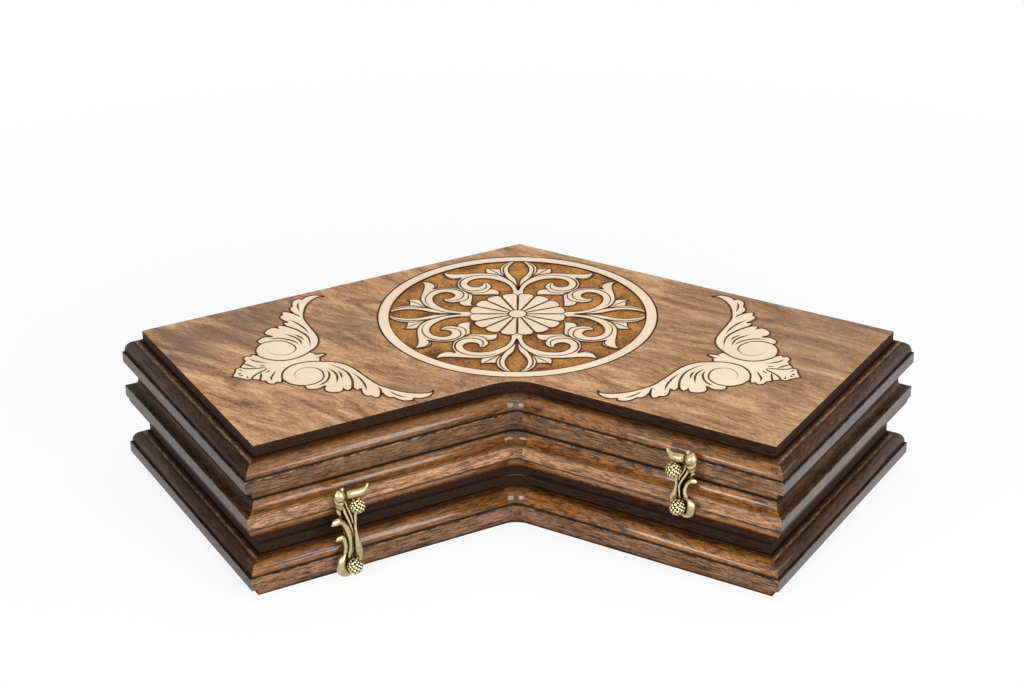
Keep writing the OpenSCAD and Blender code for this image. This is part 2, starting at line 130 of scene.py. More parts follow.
class Nodes:
    """Short calls to add and link the nodes of one shader tree."""

    COLOUR_A, COLOUR_B, COLOUR_OUT = 6, 7, 2

    def __init__(self, tree):
        self.tree = tree

    def feed(self, socket, value):
        if isinstance(value, bpy.types.NodeSocket):
            self.tree.links.new(value, socket)
        else:
            socket.default_value = value

    def add(self, kind, inputs=None, **settings):
        node = self.tree.nodes.new(kind)
        for name, value in settings.items():
            setattr(node, name, value)
        for name, value in (inputs or {}).items():
            self.feed(node.inputs[name], value)
        return node

    def math(self, operation, *values):
        node = self.add("ShaderNodeMath", operation=operation)
        for socket, value in zip(node.inputs, values):
            self.feed(socket, value)
        return node.outputs[0]

    def product(self, first, *others):
        for other in others:
            first = self.math("MULTIPLY", first, other)
        return first

    def most(self, first, *others):
        for other in others:
            first = self.math("MAXIMUM", first, other)
        return first

    def flip(self, mask):
        return self.math("SUBTRACT", 1.0, mask)

    def blend(self, first, share, second):
        """Two values added up, the first by its share and the second by the rest."""
        return self.math("MULTIPLY_ADD", first, share, self.product(second, 1 - share))

    def away(self, value, place):
        return self.math("ABSOLUTE", self.math("SUBTRACT", value, place))

    def fade(self, value, start, end):
        """0 at start and 1 at end, eased between them."""
        node = self.add(
            "ShaderNodeMapRange",
            {"Value": value, "From Min": start, "From Max": end},
            interpolation_type="SMOOTHSTEP",
        )
        return node.outputs["Result"]

    def scale(self, value, low, high):
        """A mask from 0 to 1 taken to a range from low to high."""
        return self.math("MULTIPLY_ADD", value, high - low, low)

    def near(self, value, place, reach):
        """1 at a place, falling to 0 a reach away from it."""
        return self.fade(self.away(value, place), reach, 0)

    def line(self, value, place, half_width):
        """1 along a sharp line at a place."""
        return self.fade(self.away(value, place), half_width, half_width * 0.6)

    def mix(self, factor, a, b, blend="MIX"):
        node = self.add("ShaderNodeMix", data_type="RGBA", blend_type=blend)
        for place, value in ((0, factor), (self.COLOUR_A, a), (self.COLOUR_B, b)):
            self.feed(node.inputs[place], value)
        return node.outputs[self.COLOUR_OUT]

    def times(self, colour, factor):
        """A colour made lighter or darker."""
        settings = {0: colour, "Scale": factor}
        return self.add("ShaderNodeVectorMath", settings, operation="SCALE").outputs[0]

    def stretch(self, vector, *lengths):
        """Coordinates divided by a length along each axis."""
        node = self.add("ShaderNodeVectorMath", {0: vector, 1: lengths}, operation="DIVIDE")
        return node.outputs[0]

    def noise(self, vector, detail=3.0, roughness=0.55, distortion=0.0):
        settings = {"Scale": 1.0, "Detail": detail, "Roughness": roughness, "Distortion": distortion}
        node = self.add("ShaderNodeTexNoise", {"Vector": vector, **settings})
        return node.outputs[0]

    def ramp(self, value, *stops):
        node = self.add("ShaderNodeValToRGB", {"Fac": value})
        elements = node.color_ramp.elements
        while len(elements) < len(stops):
            elements.new(0.5)
        for element, (place, colour) in zip(elements, stops):
            element.position = place
            element.color = colour
        return node.outputs["Color"]

    def object_mm(self, turn=0.0, shift=(0, 0, 0)):
        """Object coordinates in millimetres, with X turned along the grain."""
        place = self.add("ShaderNodeTexCoord").outputs["Object"]
        mapping = {"Vector": place, "Location": shift, "Rotation": (0, 0, -turn), "Scale": (1 / MM,) * 3}
        return self.add("ShaderNodeMapping", mapping).outputs[0]

    def split(self, vector):
        return self.add("ShaderNodeSeparateXYZ", {0: vector}).outputs

    def group(self, tree, **inputs):
        node = self.add("ShaderNodeGroup", node_tree=tree)
        for name, value in inputs.items():
            self.feed(node.inputs[name], value)
        return node.outputs


def new_group(name, inputs, outputs):
    """An empty shader group with float and vector sockets, and its input and output nodes."""
    tree = bpy.data.node_groups.new(name, "ShaderNodeTree")
    for socket, kind in inputs.items():
        tree.interface.new_socket(socket, in_out="INPUT", socket_type=kind)
    for socket in outputs:
        tree.interface.new_socket(socket, in_out="OUTPUT", socket_type="NodeSocketFloat")
    n = Nodes(tree)
    return tree, n, n.add("NodeGroupInput").outputs, n.add("NodeGroupOutput").inputs


def wood_grain_group():
    """Streaks, broad figure, clouds and pores of wood whose grain runs along X, in millimetres."""
    tree, n, given, result = new_group(
        "wood_grain", {"Vector": "NodeSocketVector"}, ("Streaks", "Figure", "Clouds", "Pores")
    )
    along = given["Vector"]
    n.feed(result["Streaks"], n.noise(n.stretch(along, 11, 1.0, 1.0), 4.0, 0.7, 0.3))
    n.feed(result["Figure"], n.noise(n.stretch(along, 80, 15, 15), 4.0, 0.55, 1.4))
    n.feed(result["Clouds"], n.noise(n.stretch(along, 85, 48, 48), 3.0, 0.55, 0.8))
    dashes = n.noise(n.stretch(along, 5, 0.9, 0.9), 2.0, 0.5)
    n.feed(result["Pores"], n.fade(dashes, 0.55, 0.66))
    return tree


def rail_zones_group():
    """Masks for the parts of the moulding and for its painted shade lines, from the height over the panel in
    millimetres.
    """
    tree, n, given, result = new_group(
        "rail_zones",
        {"Height": "NodeSocketFloat", "Cove": "NodeSocketFloat"},
        ("Rounds", "Gloss", "Flats", "Crease_Shade", "Edges", "Joint_Shade"),
    )
    height = given["Height"]
    ovolo = n.fade(height, ROUND_TOP + 0.3, ROUND_TOP - 0.2)
    cove = n.product(n.fade(height, BAND_TOP - 0.1, BAND_TOP + 0.5), given["Cove"])
    n.feed(result["Rounds"], n.most(ovolo, cove))
    low_gloss = n.product(ovolo, n.fade(height, 1, 4.5))
    high_gloss = n.product(cove, n.fade(height, BAND_TOP + 1.5, BAND_TOP + 4.5))
    n.feed(result["Gloss"], n.most(low_gloss, high_gloss))
    over_foot = n.fade(height, BAND_LOW, BAND_LOW + 0.8)
    under_head = n.fade(height, BAND_TOP, BAND_TOP - 0.8)
    n.feed(result["Flats"], n.product(over_foot, under_head))
    # Painted shade in the quirk between ovolo and band, and along the foot where the ovolo meets the panel
    quirk_shade = n.near(height, ROUND_TOP + 0.4, 2.2)
    foot = n.near(height, 0, 3.2)
    n.feed(result["Crease_Shade"], n.most(quirk_shade, foot))
    low_edge = n.near(height, BAND_LOW + 0.5, 0.8)
    high_edge = n.near(height, BAND_TOP - 0.3, 0.7)
    n.feed(result["Edges"], n.most(low_edge, high_edge))
    # Painted shade along the joint where one tray meets the next
    n.feed(result["Joint_Shade"], n.near(height, RAIL_H, 2.6))
    return tree


WOOD_GRAIN = wood_grain_group()
RAIL_ZONES = rail_zones_group()


def new_material(name, **sockets):
    """A material with the numbers and colours that are the same all over set on its shader."""
    material = bpy.data.materials.new(name)
    material.use_nodes = True
    shader = material.node_tree.nodes["Principled BSDF"]
    for socket, value in sockets.items():
        shader.inputs[socket.replace("_", " ")].default_value = value
    return material, Nodes(material.node_tree), shader.inputs


def bump(n, height, strength, reach_mm):
    """A relief in the finish alone."""
    settings = {"Height": height, "Strength": strength, "Distance": reach_mm * MM}
    return n.add("ShaderNodeBump", settings).outputs[0]


def chevron_sides(low, high):
    """How far a chevron's notch sides, ends and back sides stand out from the middle."""
    back = RUN * high.y
    end_y = (back + FALL * low.x) / RUN
    end = -RUN * low.x - FALL * end_y
    corner_x = (end + FALL * low.y) / RUN
    notch = -FALL * corner_x - RUN * low.y
    return notch / MM, end / MM, back / MM


def outline_rim(n, reach):
    """1 along the outline of the panels, falling to 0 a reach inside it."""
    spot = n.split(n.object_mm())
    across = n.math("ABSOLUTE", spot["X"])
    directions = ((-FALL, -RUN), (RUN, -FALL), (FALL, RUN))
    rims = []
    for (sideways, back), side in zip(directions, chevron_sides(panel_low, panel_high)):
        out = n.math("MULTIPLY_ADD", across, sideways, n.product(spot["Y"], back))
        rims.append(n.near(out, side, reach))
    return n.most(*rims)


def round_radius(n):
    """How far a spot lies from the middle of the carved round, in millimetres."""
    away = n.add("ShaderNodeVectorMath", {0: n.object_mm(), 1: medallion / MM}, operation="SUBTRACT")
    spot = n.split(away.outputs[0])
    return n.math("SQRT", n.math("ADD", n.math("POWER", spot["X"], 2.0), n.math("POWER", spot["Y"], 2.0)))


# Stain clouds on the panels: (sideways, back, reach) in millimetres, and how dark each is
STAINS = ((-264, -12, 66, 1.0), (-222, 24, 52, 0.9), (-135, 26, 44, 0.6), (255, 10, 230, 0.5))
STAIN_RAGGED = 110


def veneer(n, place, grain):
    """Brown of the panels' faces: broad figure and flecks, stain clouds, dark streaks and pores."""
    plain = n.object_mm()
    figure = n.noise(n.stretch(place, 120, 36, 36), 5.0, 0.62, 2.4)
    flecks = n.noise(n.stretch(place, 7, 1.5, 1.5), 4.0, 0.75, 0.3)
    specks = n.noise(n.stretch(place, 2, 1.4, 1.4), 3.0, 0.7)
    fine = n.math("MULTIPLY_ADD", flecks, 0.32, n.product(specks, 0.2))
    tone = n.math("MULTIPLY_ADD", figure, 0.48, fine)
    colour = n.ramp(tone, (0.38, PANEL_DARK), (0.49, PANEL_MID), (0.6, PANEL_LIGHT))
    cloud = n.product(n.fade(grain["Clouds"], 0.54, 0.72), 0.7)
    for x, y, reach, depth in STAINS:
        away = n.add("ShaderNodeVectorMath", {0: plain, 1: (x, y, panel_top / MM)}, operation="DISTANCE")
        ragged = n.math("MULTIPLY_ADD", figure, STAIN_RAGGED, away.outputs["Value"])
        stain = n.fade(ragged, reach + STAIN_RAGGED / 2, STAIN_RAGGED / 2)
        cloud = n.most(cloud, n.product(stain, depth))
    colour = n.mix(n.product(cloud, 0.8), colour, PANEL_CLOUD)
    streaks = n.fade(n.noise(n.stretch(place, 34, 2.2, 2.2), 3.0, 0.6, 0.4), 0.54, 0.68)
    colour = n.mix(n.product(streaks, 0.4), colour, PANEL_CLOUD)
    return n.mix(n.product(grain["Pores"], 0.35), colour, PANEL_DARK)


def carved_ground(n, face, colour, relief):
    """Lays the stippled ground of the carved round, and the line around it, over a colour and a relief."""
    plain = n.object_mm()
    height = n.split(plain)["Z"]
    sunk = n.fade(height, panel_top / MM - 0.4, panel_top / MM - 0.6)
    above = n.fade(height, ground_z / MM - 0.5, ground_z / MM - 0.3)
    ground = n.product(sunk, above, face)
    stipple = n.noise(n.stretch(plain, 2.4, 2.4, 2.4), 4.0, 0.75)
    patches = n.noise(n.stretch(plain, 26, 26, 26), 3.0, 0.6, 0.6)
    stain = n.blend(patches, 0.5, stipple)
    stained = n.ramp(stain, (0.38, CARVED_DEEP), (0.49, CARVED_GROUND), (0.6, CARVED_LIGHT))
    colour = n.mix(ground, colour, stained)
    colour = n.mix(n.line(round_radius(n), ring_r / MM, RING_LINE), colour, BURNT)
    return colour, n.math("MULTIPLY_ADD", n.product(stipple, ground), 2.5, relief)


def panel_wood(name, turn, shift, carved):
    """Stained plywood with near-black, worn edges and a painted shade line where two panels lie back to back.
    """
    material, n, shader = new_material(name, Specular_IOR_Level=0.05)
    place = n.object_mm(turn, shift)
    grain = n.group(WOOD_GRAIN, Vector=place)
    colour = veneer(n, place, grain)
    relief = n.math("SUBTRACT", n.product(grain["Streaks"], 0.4), grain["Pores"])
    normal = n.split(n.add("ShaderNodeTexCoord").outputs["Normal"])
    level = n.math("ABSOLUTE", normal["Z"])
    edge = n.fade(level, 0.75, 0.45)
    colour = n.mix(edge, colour, n.ramp(grain["Streaks"], (0.35, BLACK_GRAIN_AND_SHADE), (0.65, PANEL_EDGE)))
    worn = n.product(n.near(level, 0.72, 0.25), n.fade(grain["Figure"], 0.4, 0.6))
    colour = n.mix(n.product(worn, 0.5), colour, WORN)
    height = n.split(n.object_mm())["Z"]
    # Painted shade: a dark line along the outline where the middle and bottom panels meet
    joint = n.near(height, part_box("middle_panel")[0].z / MM, 2.2)
    colour = n.mix(n.product(joint, outline_rim(n, 3.0)), colour, BLACK_GRAIN_AND_SHADE)
    if carved:
        colour, relief = carved_ground(n, n.flip(edge), colour, relief)
    n.feed(shader["Base Color"], colour)
    n.feed(shader["Roughness"], n.scale(grain["Streaks"], 0.42, 0.6))
    n.feed(shader["Normal"], bump(n, relief, 0.25, 0.25))
    return material


def moulding(n, place, tone, zones, mottle, band_painted_light, round_painted_light):
    """Brown of the band and gold of the rounds, both blotched, each made lighter or darker by painted light
    and shade.
    """
    band = n.times(n.ramp(tone, (0.39, BAND_DARK), (0.57, BAND_LIGHT)), band_painted_light)
    rounds = n.times(n.ramp(tone, (0.36, ROUND_DARK), (0.56, ROUND_LIGHT)), round_painted_light)
    smudge = n.noise(n.stretch(place, 20, 4, 4), 4.0, 0.65)
    band = n.mix(n.product(n.fade(smudge, 0.5, 0.66), mottle * 0.6), band, BAND_DARK)
    blots = n.noise(n.stretch(place, 15, 6, 6), 3.0, 0.65, 0.8)
    rounds = n.mix(n.product(n.fade(blots, 0.47, 0.68), mottle), rounds, ROUND_DARK)
    return n.mix(zones["Rounds"], band, rounds)


def aged_and_shaded(n, place, height, zones, dark, colour):
    """Lays painted shade in the quirk and foot lines and along the tray joint, worn arrises and, on dark
    rails, a worn rim over a colour.
    """
    # Painted shade: the quirk and foot lines, then the joint between trays
    colour = n.mix(n.product(zones["Crease_Shade"], 0.95), colour, BLACK_GRAIN_AND_SHADE)
    colour = n.mix(zones["Joint_Shade"], colour, BLACK_GRAIN_AND_SHADE)
    chips = n.fade(n.noise(n.stretch(place, 9, 2.5, 2.5), 4.0, 0.7), 0.42, 0.6)
    worn = n.product(zones["Edges"], chips, 0.8 * (1 - 0.8 * dark))
    colour = n.mix(worn, colour, WORN)
    rim = n.product(n.near(height, RIM_AT, 0.6), n.scale(chips, 0.25 * dark, 0.7 * dark))
    return n.mix(rim, colour, WORN)


def rail_wood(name, turn, shift, tray, dark, mottle, polish, flat_polish, band_painted_light, round_painted_light):
    """Stained moulding with pores and flecks, painted light and shade on its bands, rounds and creases,
    varnished on its rounds and flats.
    """
    material, n, shader = new_material(name, Specular_IOR_Level=0.05, Coat_Roughness=0.13)
    low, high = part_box(f"{tray}_inner_left_rail")
    faces_up = tray == "middle"
    sign, base = (1, -low.z / MM) if faces_up else (-1, high.z / MM)
    height = n.math("MULTIPLY_ADD", n.split(n.object_mm())["Z"], sign, base)
    zones = n.group(RAIL_ZONES, Height=height, Cove=1.0 if faces_up else 0.3)
    place = n.object_mm(turn, shift)
    grain = n.group(WOOD_GRAIN, Vector=place)
    tone = n.blend(grain["Streaks"], 0.65, grain["Figure"])
    colour = moulding(n, place, tone, zones, mottle, band_painted_light, round_painted_light)
    colour = n.mix(dark, colour, n.ramp(tone, (0.4, END_DARK), (0.62, END_LIGHT)))
    colour = aged_and_shaded(n, place, height, zones, dark, colour)
    colour = n.mix(n.product(grain["Pores"], 0.45), colour, BLACK_GRAIN_AND_SHADE)
    flecks = n.noise(n.stretch(place, 5, 1.2, 1.2), 3.0, 0.7)
    n.feed(shader["Base Color"], n.times(colour, n.math("MULTIPLY_ADD", flecks, 2.0, 0.05)))
    n.feed(shader["Roughness"], n.scale(tone, 0.4, 0.65))
    round_varnish = n.math("MULTIPLY_ADD", zones["Gloss"], 0.88 * polish, 0.08 * polish)
    varnish = n.most(round_varnish, n.product(zones["Flats"], flat_polish))
    n.feed(shader["Coat Weight"], n.product(varnish, n.flip(n.most(zones["Crease_Shade"], zones["Joint_Shade"]))))
    relief = n.math("SUBTRACT", grain["Streaks"], n.product(grain["Pores"], 0.6))
    n.feed(shader["Normal"], bump(n, relief, 0.22, 0.3))
    return material


def plain_wood(name, turn, colours, roughness=0.45, shift=(0, 0, 0)):
    """Sanded wood between two colours, with its pores."""
    material, n, shader = new_material(name, Specular_IOR_Level=0.2)
    grain = n.group(WOOD_GRAIN, Vector=n.object_mm(turn, shift))
    tone = n.blend(grain["Streaks"], 0.65, grain["Figure"])
    colour = n.ramp(tone, (0.32, colours[0]), (0.66, colours[1]))
    n.feed(shader["Base Color"], n.mix(n.product(grain["Pores"], 0.4), colour, colours[0]))
    n.feed(shader["Roughness"], n.scale(tone, roughness - 0.08, roughness + 0.1))
    n.feed(shader["Normal"], bump(n, grain["Streaks"], 0.15, 0.2))
    return material


def carving_wood():
    """Bleached wood of the raised carving, with a scorched line along the round's ring."""
    material, n, shader = new_material("pale_carving", Specular_IOR_Level=0.05)
    place = n.object_mm(-EDGE_FALL, (11, 7, 0))
    grain = n.group(WOOD_GRAIN, Vector=place)
    tone = n.blend(grain["Streaks"], 0.5, grain["Clouds"])
    colour = n.ramp(tone, (0.38, CREAM_SHADE), (0.58, CREAM))
    radius = round_radius(n)
    for line_r in (ring_r / MM, ring_r / MM - RING_W):
        colour = n.mix(n.line(radius, line_r, RING_LINE), colour, BURNT)
    n.feed(shader["Base Color"], colour)
    n.feed(shader["Roughness"], n.scale(tone, 0.42, 0.58))
    n.feed(shader["Normal"], bump(n, grain["Streaks"], 0.12, 0.15))
    return material


def burnt_wood():
    """Scorched brown of the lines that outline the carving."""
    material, n, shader = new_material("burnt_line", Roughness=0.6, Specular_IOR_Level=0.1)
    blots = n.noise(n.stretch(n.object_mm(), 3, 3, 3), 3.0, 0.6)
    n.feed(shader["Base Color"], n.ramp(blots, (0.35, BURNT), (0.75, BURNT_PALE)))
    return material


def cast_brass():
    """Old cast brass: black in the hollows, pale gold on the high spots. The mesh holds the hollows."""
    material, n, shader = new_material("antique_brass", Metallic=1.0)
    hollow = n.add("ShaderNodeAttribute", attribute_name="hollow").outputs["Fac"]
    grime = n.noise(n.stretch(n.object_mm(), 2.2, 2.2, 2.2), 4.0, 0.6)
    depth = n.math("MULTIPLY_ADD", n.math("SUBTRACT", grime, 0.5), 0.35, hollow)
    colour = n.ramp(depth, (0.12, BRASS_PALE), (0.4, BRASS_MID), (0.6, BRASS_BLACK))
    n.feed(shader["Base Color"], colour)
    n.feed(shader["Roughness"], n.scale(n.fade(depth, 0.1, 0.9), 0.26, 0.6))
    n.feed(shader["Normal"], bump(n, grime, 0.1, 0.1))
    return material


def hinge_metal(name, colours):
    """Rolled and brushed metal with a faint tarnish."""
    material, n, shader = new_material(name, Metallic=1.0)
    place = n.object_mm()
    tarnish = n.noise(n.stretch(place, 6, 6, 6), 4.0, 0.6)
    brushed = n.noise(n.stretch(place, 9, 0.4, 0.4), 3.0, 0.6)
    n.feed(shader["Base Color"], n.ramp(tarnish, (0.35, colours[0]), (0.6, colours[1])))
    n.feed(shader["Roughness"], n.scale(brushed, 0.22, 0.48))
    n.feed(shader["Normal"], bump(n, brushed, 0.1, 0.05))
    return material


def ivory():
    """Polished ivory of the dice, faintly clouded."""
    material, n, shader = new_material("die_ivory", Subsurface_Weight=0.1, Coat_Weight=0.3)
    clouds = n.noise(n.stretch(n.object_mm(), 5, 5, 5), 4.0, 0.6)
    n.feed(shader["Base Color"], n.ramp(clouds, (0.35, IVORY[0]), (0.65, IVORY[1])))
    n.feed(shader["Roughness"], n.scale(clouds, 0.25, 0.4))
    return material


def ebony():
    """Black of the pips."""
    material, n, shader = new_material("pip_black")
    clouds = n.noise(n.stretch(n.object_mm(), 2, 2, 2), 3.0, 0.6)
    n.feed(shader["Base Color"], n.ramp(clouds, (0.3, EBONY[0]), (0.7, EBONY[1])))
    n.feed(shader["Roughness"], n.scale(clouds, 0.4, 0.6))
    return material


def coat(piece, *finishes):
    """Gives a piece its finishes in place of those that it has."""
    piece.data.materials.clear()
    for finish in finishes:
        piece.data.materials.append(finish)


def dress(name, finish):
    """Gives a CAD node its finish."""
    coat(nodes[name], finish)


# How light the left band, the right band and the rounds are, tray by tray: painted light and shade, set to
# how each is lit
TRAY_PAINTED_LIGHT = {"bottom": (0.92, 0.8, 0.62), "middle": (1.6, 1.5, 0.62), "top": (0.56, 0.8, 0.52)}

# Rails by face: the turn of the grain, how dark the stain is (on the notch block, how much darker it is
# made), how blotched, the polish of the rounds and of the flats, and how much lighter the rounds are made by
# painted light
RAIL_FACES = {
    "outer_left_rail": (EDGE_FALL, 0.92, 0.5, 0.2, 0.6, 1.0),
    "outer_right_rail": (-EDGE_FALL, 0.92, 0.5, 0.2, 0.6, 1.0),
    "left_end_rail": (EDGE_FALL + math.pi / 2, 0.95, 0.5, 0.14, 0.65, 1.0),
    "right_end_rail": (-EDGE_FALL - math.pi / 2, 0.9, 0.5, 0.25, 0.9, 1.0),
    "inner_left_rail": (EDGE_FALL, 0.0, 0.35, 1.0, 0.0, 1.0),
    # The right inner rounds are made lighter: painted light
    "inner_right_rail": (-EDGE_FALL, 0.0, 0.95, 1.0, 0.0, 1.5),
    # The notch block at the inner corner is made darker than the rails beside it
    "notch_block": (0.0, 0.28, 0.5, 1.0, 0.0, 1.0),
}
PANEL_TURN = math.radians(-34)

# Shifts of the grain in millimetres, so that no two pieces show the same figure
RAIL_SHIFT = Vector((173, 0, 7))
TRAY_SHIFT = Vector((61, 29, 0))
PANEL_SHIFT = Vector((40, 0, 0))
FIELD_SHIFT = Vector((90, 0, 0))
PANEL_START = Vector((0, 15, 0))

pale_carving = carving_wood()
burnt_line = burnt_wood()
antique_brass = cast_brass()
hinge_brass = hinge_metal("hinge_brass", ROLLED_BRASS)
pin_steel = hinge_metal("pin_steel", STEEL)
die_ivory = ivory()
pip_black = ebony()

for step, tray in enumerate(TRAYS):
    for place, (face, (turn, dark, mottle, polish, flat_polish, lighter)) in enumerate(RAIL_FACES.items()):
        shift = RAIL_SHIFT * place + TRAY_SHIFT * step
        # Painted light and shade: how much lighter or darker this tray's bands and rounds are made
        left_band, right_band, round_painted_light = TRAY_PAINTED_LIGHT[tray]
        lifts = (right_band if "right" in face else left_band, round_painted_light * lighter)
        rail = f"{tray}_{face}"
        finish = rail_wood(f"{rail}_finish", turn, shift, tray, dark, mottle, polish, flat_polish, *lifts)
        dress(rail, finish)
    carved = tray == "top"
    panel_shift = PANEL_START + PANEL_SHIFT * step
    dress(f"{tray}_panel", panel_wood(f"{tray}_panel_finish", PANEL_TURN, panel_shift, carved))
    dress(f"{tray}_field", plain_wood(f"{tray}_field_finish", PANEL_TURN, FIELD, 0.42, FIELD_SHIFT * step))
light_points = plain_wood("light_points_finish", math.pi / 2, LIGHT_WOOD, 0.4)
dark_points = plain_wood("dark_points_finish", math.pi / 2, DARK_WOOD, 0.38)
for tray in TRAYS:
    dress(f"{tray}_light_points", light_points)
    dress(f"{tray}_dark_points", dark_points)
dress("medallion_ring", pale_carving)
for name in nodes:
    if "hinge" in name:
        dress(name, pin_steel if name.endswith("pins") else hinge_brass)
for tint, colours in (("light", LIGHT_WOOD), ("dark", DARK_WOOD), ("red", RED_WOOD)):
    dress(f"{tint}_checkers", plain_wood(f"{tint}_checker_finish", 0.3, colours, 0.3))

# Broken arrises: their width and the gap that is welded first, in millimetres, and the least angle
PANEL_ARRIS = 0.7
RAIL_ARRIS = 0.35
ARRIS_WELD = 0.01
ARRIS_ANGLE = math.radians(40)


def soften(name, width_mm):
    """Breaks the sharp arrises of a CAD node."""
    node = nodes[name]
    weld = node.modifiers.new("weld", "WELD")
    weld.merge_threshold = ARRIS_WELD * MM
    bevel = node.modifiers.new("arris", "BEVEL")
    bevel.width = width_mm * MM
    bevel.segments = 2
    bevel.limit_method = "ANGLE"
    bevel.angle_limit = ARRIS_ANGLE
    bevel.harden_normals = True


for tray in TRAYS:
    soften(f"{tray}_panel", PANEL_ARRIS)
    for face in RAIL_FACES:
        soften(f"{tray}_{face}", RAIL_ARRIS)


def shown(piece, body, slot, *replaced):
    """Hands a finished piece to the frame."""
    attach(piece, body)
    if replaced:
        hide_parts(*replaced)


def start_piece():
    """Lets go of everything, so that a new piece is alone in hand."""
    bpy.ops.object.select_all(action="DESELECT")


def hold(piece):
    """Takes one piece alone in hand."""
    start_piece()
    piece.select_set(True)
    bpy.context.view_layer.objects.active = piece


def join(pieces, name):
    """Joins pieces into the first and names it."""
    start_piece()
    for piece in pieces:
        piece.select_set(True)
    bpy.context.view_layer.objects.active = pieces[0]
    if len(pieces) > 1:
        bpy.ops.object.join()
    piece = bpy.context.view_layer.objects.active
    piece.name = name
    piece.data.name = name
    return piece


def clean(piece, gap):
    """Merges doubles and turns all faces outwards."""
    hold(piece)
    bpy.ops.object.mode_set(mode="EDIT")
    bpy.ops.mesh.select_all(action="SELECT")
    bpy.ops.mesh.remove_doubles(threshold=gap)
    bpy.ops.mesh.dissolve_degenerate(threshold=gap)
    bpy.ops.mesh.normals_make_consistent(inside=False)
    bpy.ops.object.mode_set(mode="OBJECT")


# Gaps that are welded, in millimetres, and a small step along a line
CARVING_WELD = 0.0004
PIECE_WELD = 0.001
NUDGE = 0.01


def through(points, place):
    """A smooth line through points of any size, at a place from 0 to 1 along their order."""
    spans = len(points) - 1
    span = min(int(place * spans), spans - 1)
    t = place * spans - span
    p1, p2 = Vector(points[span]), Vector(points[span + 1])
    p0 = Vector(points[span - 1]) if span else p1 * 2 - p2
    p3 = Vector(points[span + 2]) if span + 2 <= spans else p2 * 2 - p1
    bend = (p2 - p0) * t + (p0 * 2 - p1 * 5 + p2 * 4 - p3) * t * t + (p1 * 3 - p0 - p2 * 3 + p3) * t**3
    return p1 + bend / 2


def heading(points, place):
    """Which way a smooth line through points runs at a place."""
    return through(points, min(place + NUDGE, 1)) - through(points, max(place - NUDGE, 0))


def left_of(ahead):
    """The direction to the left of another one in plan."""
    return Vector((-ahead[1], ahead[0])).normalized()


# Relief of the carving, in millimetres: each layer of leaves lies a little over the last
SINK = 0.2
SCROLLS_UNDER = 0.25
ROSETTE_UNDER = 0.05
ORNAMENT_RISE = 0.3
RIM = 0.95
PETAL_RIM = 0.75
ORNAMENT_RIM = 1.35
RIM_OUT = 0.3
LINE_SWELL = 1.4
LAYER = 0.06
LINE_RISE = 0.02
STROKE_STEPS = 5
RIBBON_STEPS = 40
CARVING_CREASE = math.radians(35)
PALE, SCORCHED = 0, 1


def strip(rows):
    """A sheet of faces through rows of points, given in millimetres."""
    start_piece()
    steps, sides = len(rows) - 1, len(rows[0]) - 1
    bpy.ops.mesh.primitive_grid_add(x_subdivisions=steps, y_subdivisions=sides, size=1)
    sheet = bpy.context.object
    for vertex in sheet.data.vertices:
        step = round((vertex.co.x + 0.5) * steps)
        side = round((vertex.co.y + 0.5) * sides)
        vertex.co = Vector(rows[step][side]) * MM
    return sheet


def drawn(*strokes):
    """Points along strokes that meet end to end: smooth on each stroke, sharp where two meet."""
    points = []
    for stroke in strokes:
        count = STROKE_STEPS * (len(stroke) - 1)
        points += [through(stroke, i / count) for i in range(count)]
    return points


def leftwards(points):
    """A closed outline, turned so that it runs anticlockwise."""
    pairs = zip(points, points[1:] + points[:1])
    area = sum(a.x * b.y - b.x * a.y for a, b in pairs)
    return points if area > 0 else points[::-1]


def outline(*strokes):
    """A closed outline along strokes."""
    return leftwards(drawn(*strokes))


def mirrored(*strokes):
    """Closes half an outline, which starts and ends on the middle line, with its mirror image."""
    half = drawn(*strokes) + [Vector(strokes[-1][-1])]
    return leftwards(half + [Vector((-p.x, p.y)) for p in reversed(half[1:-1])])


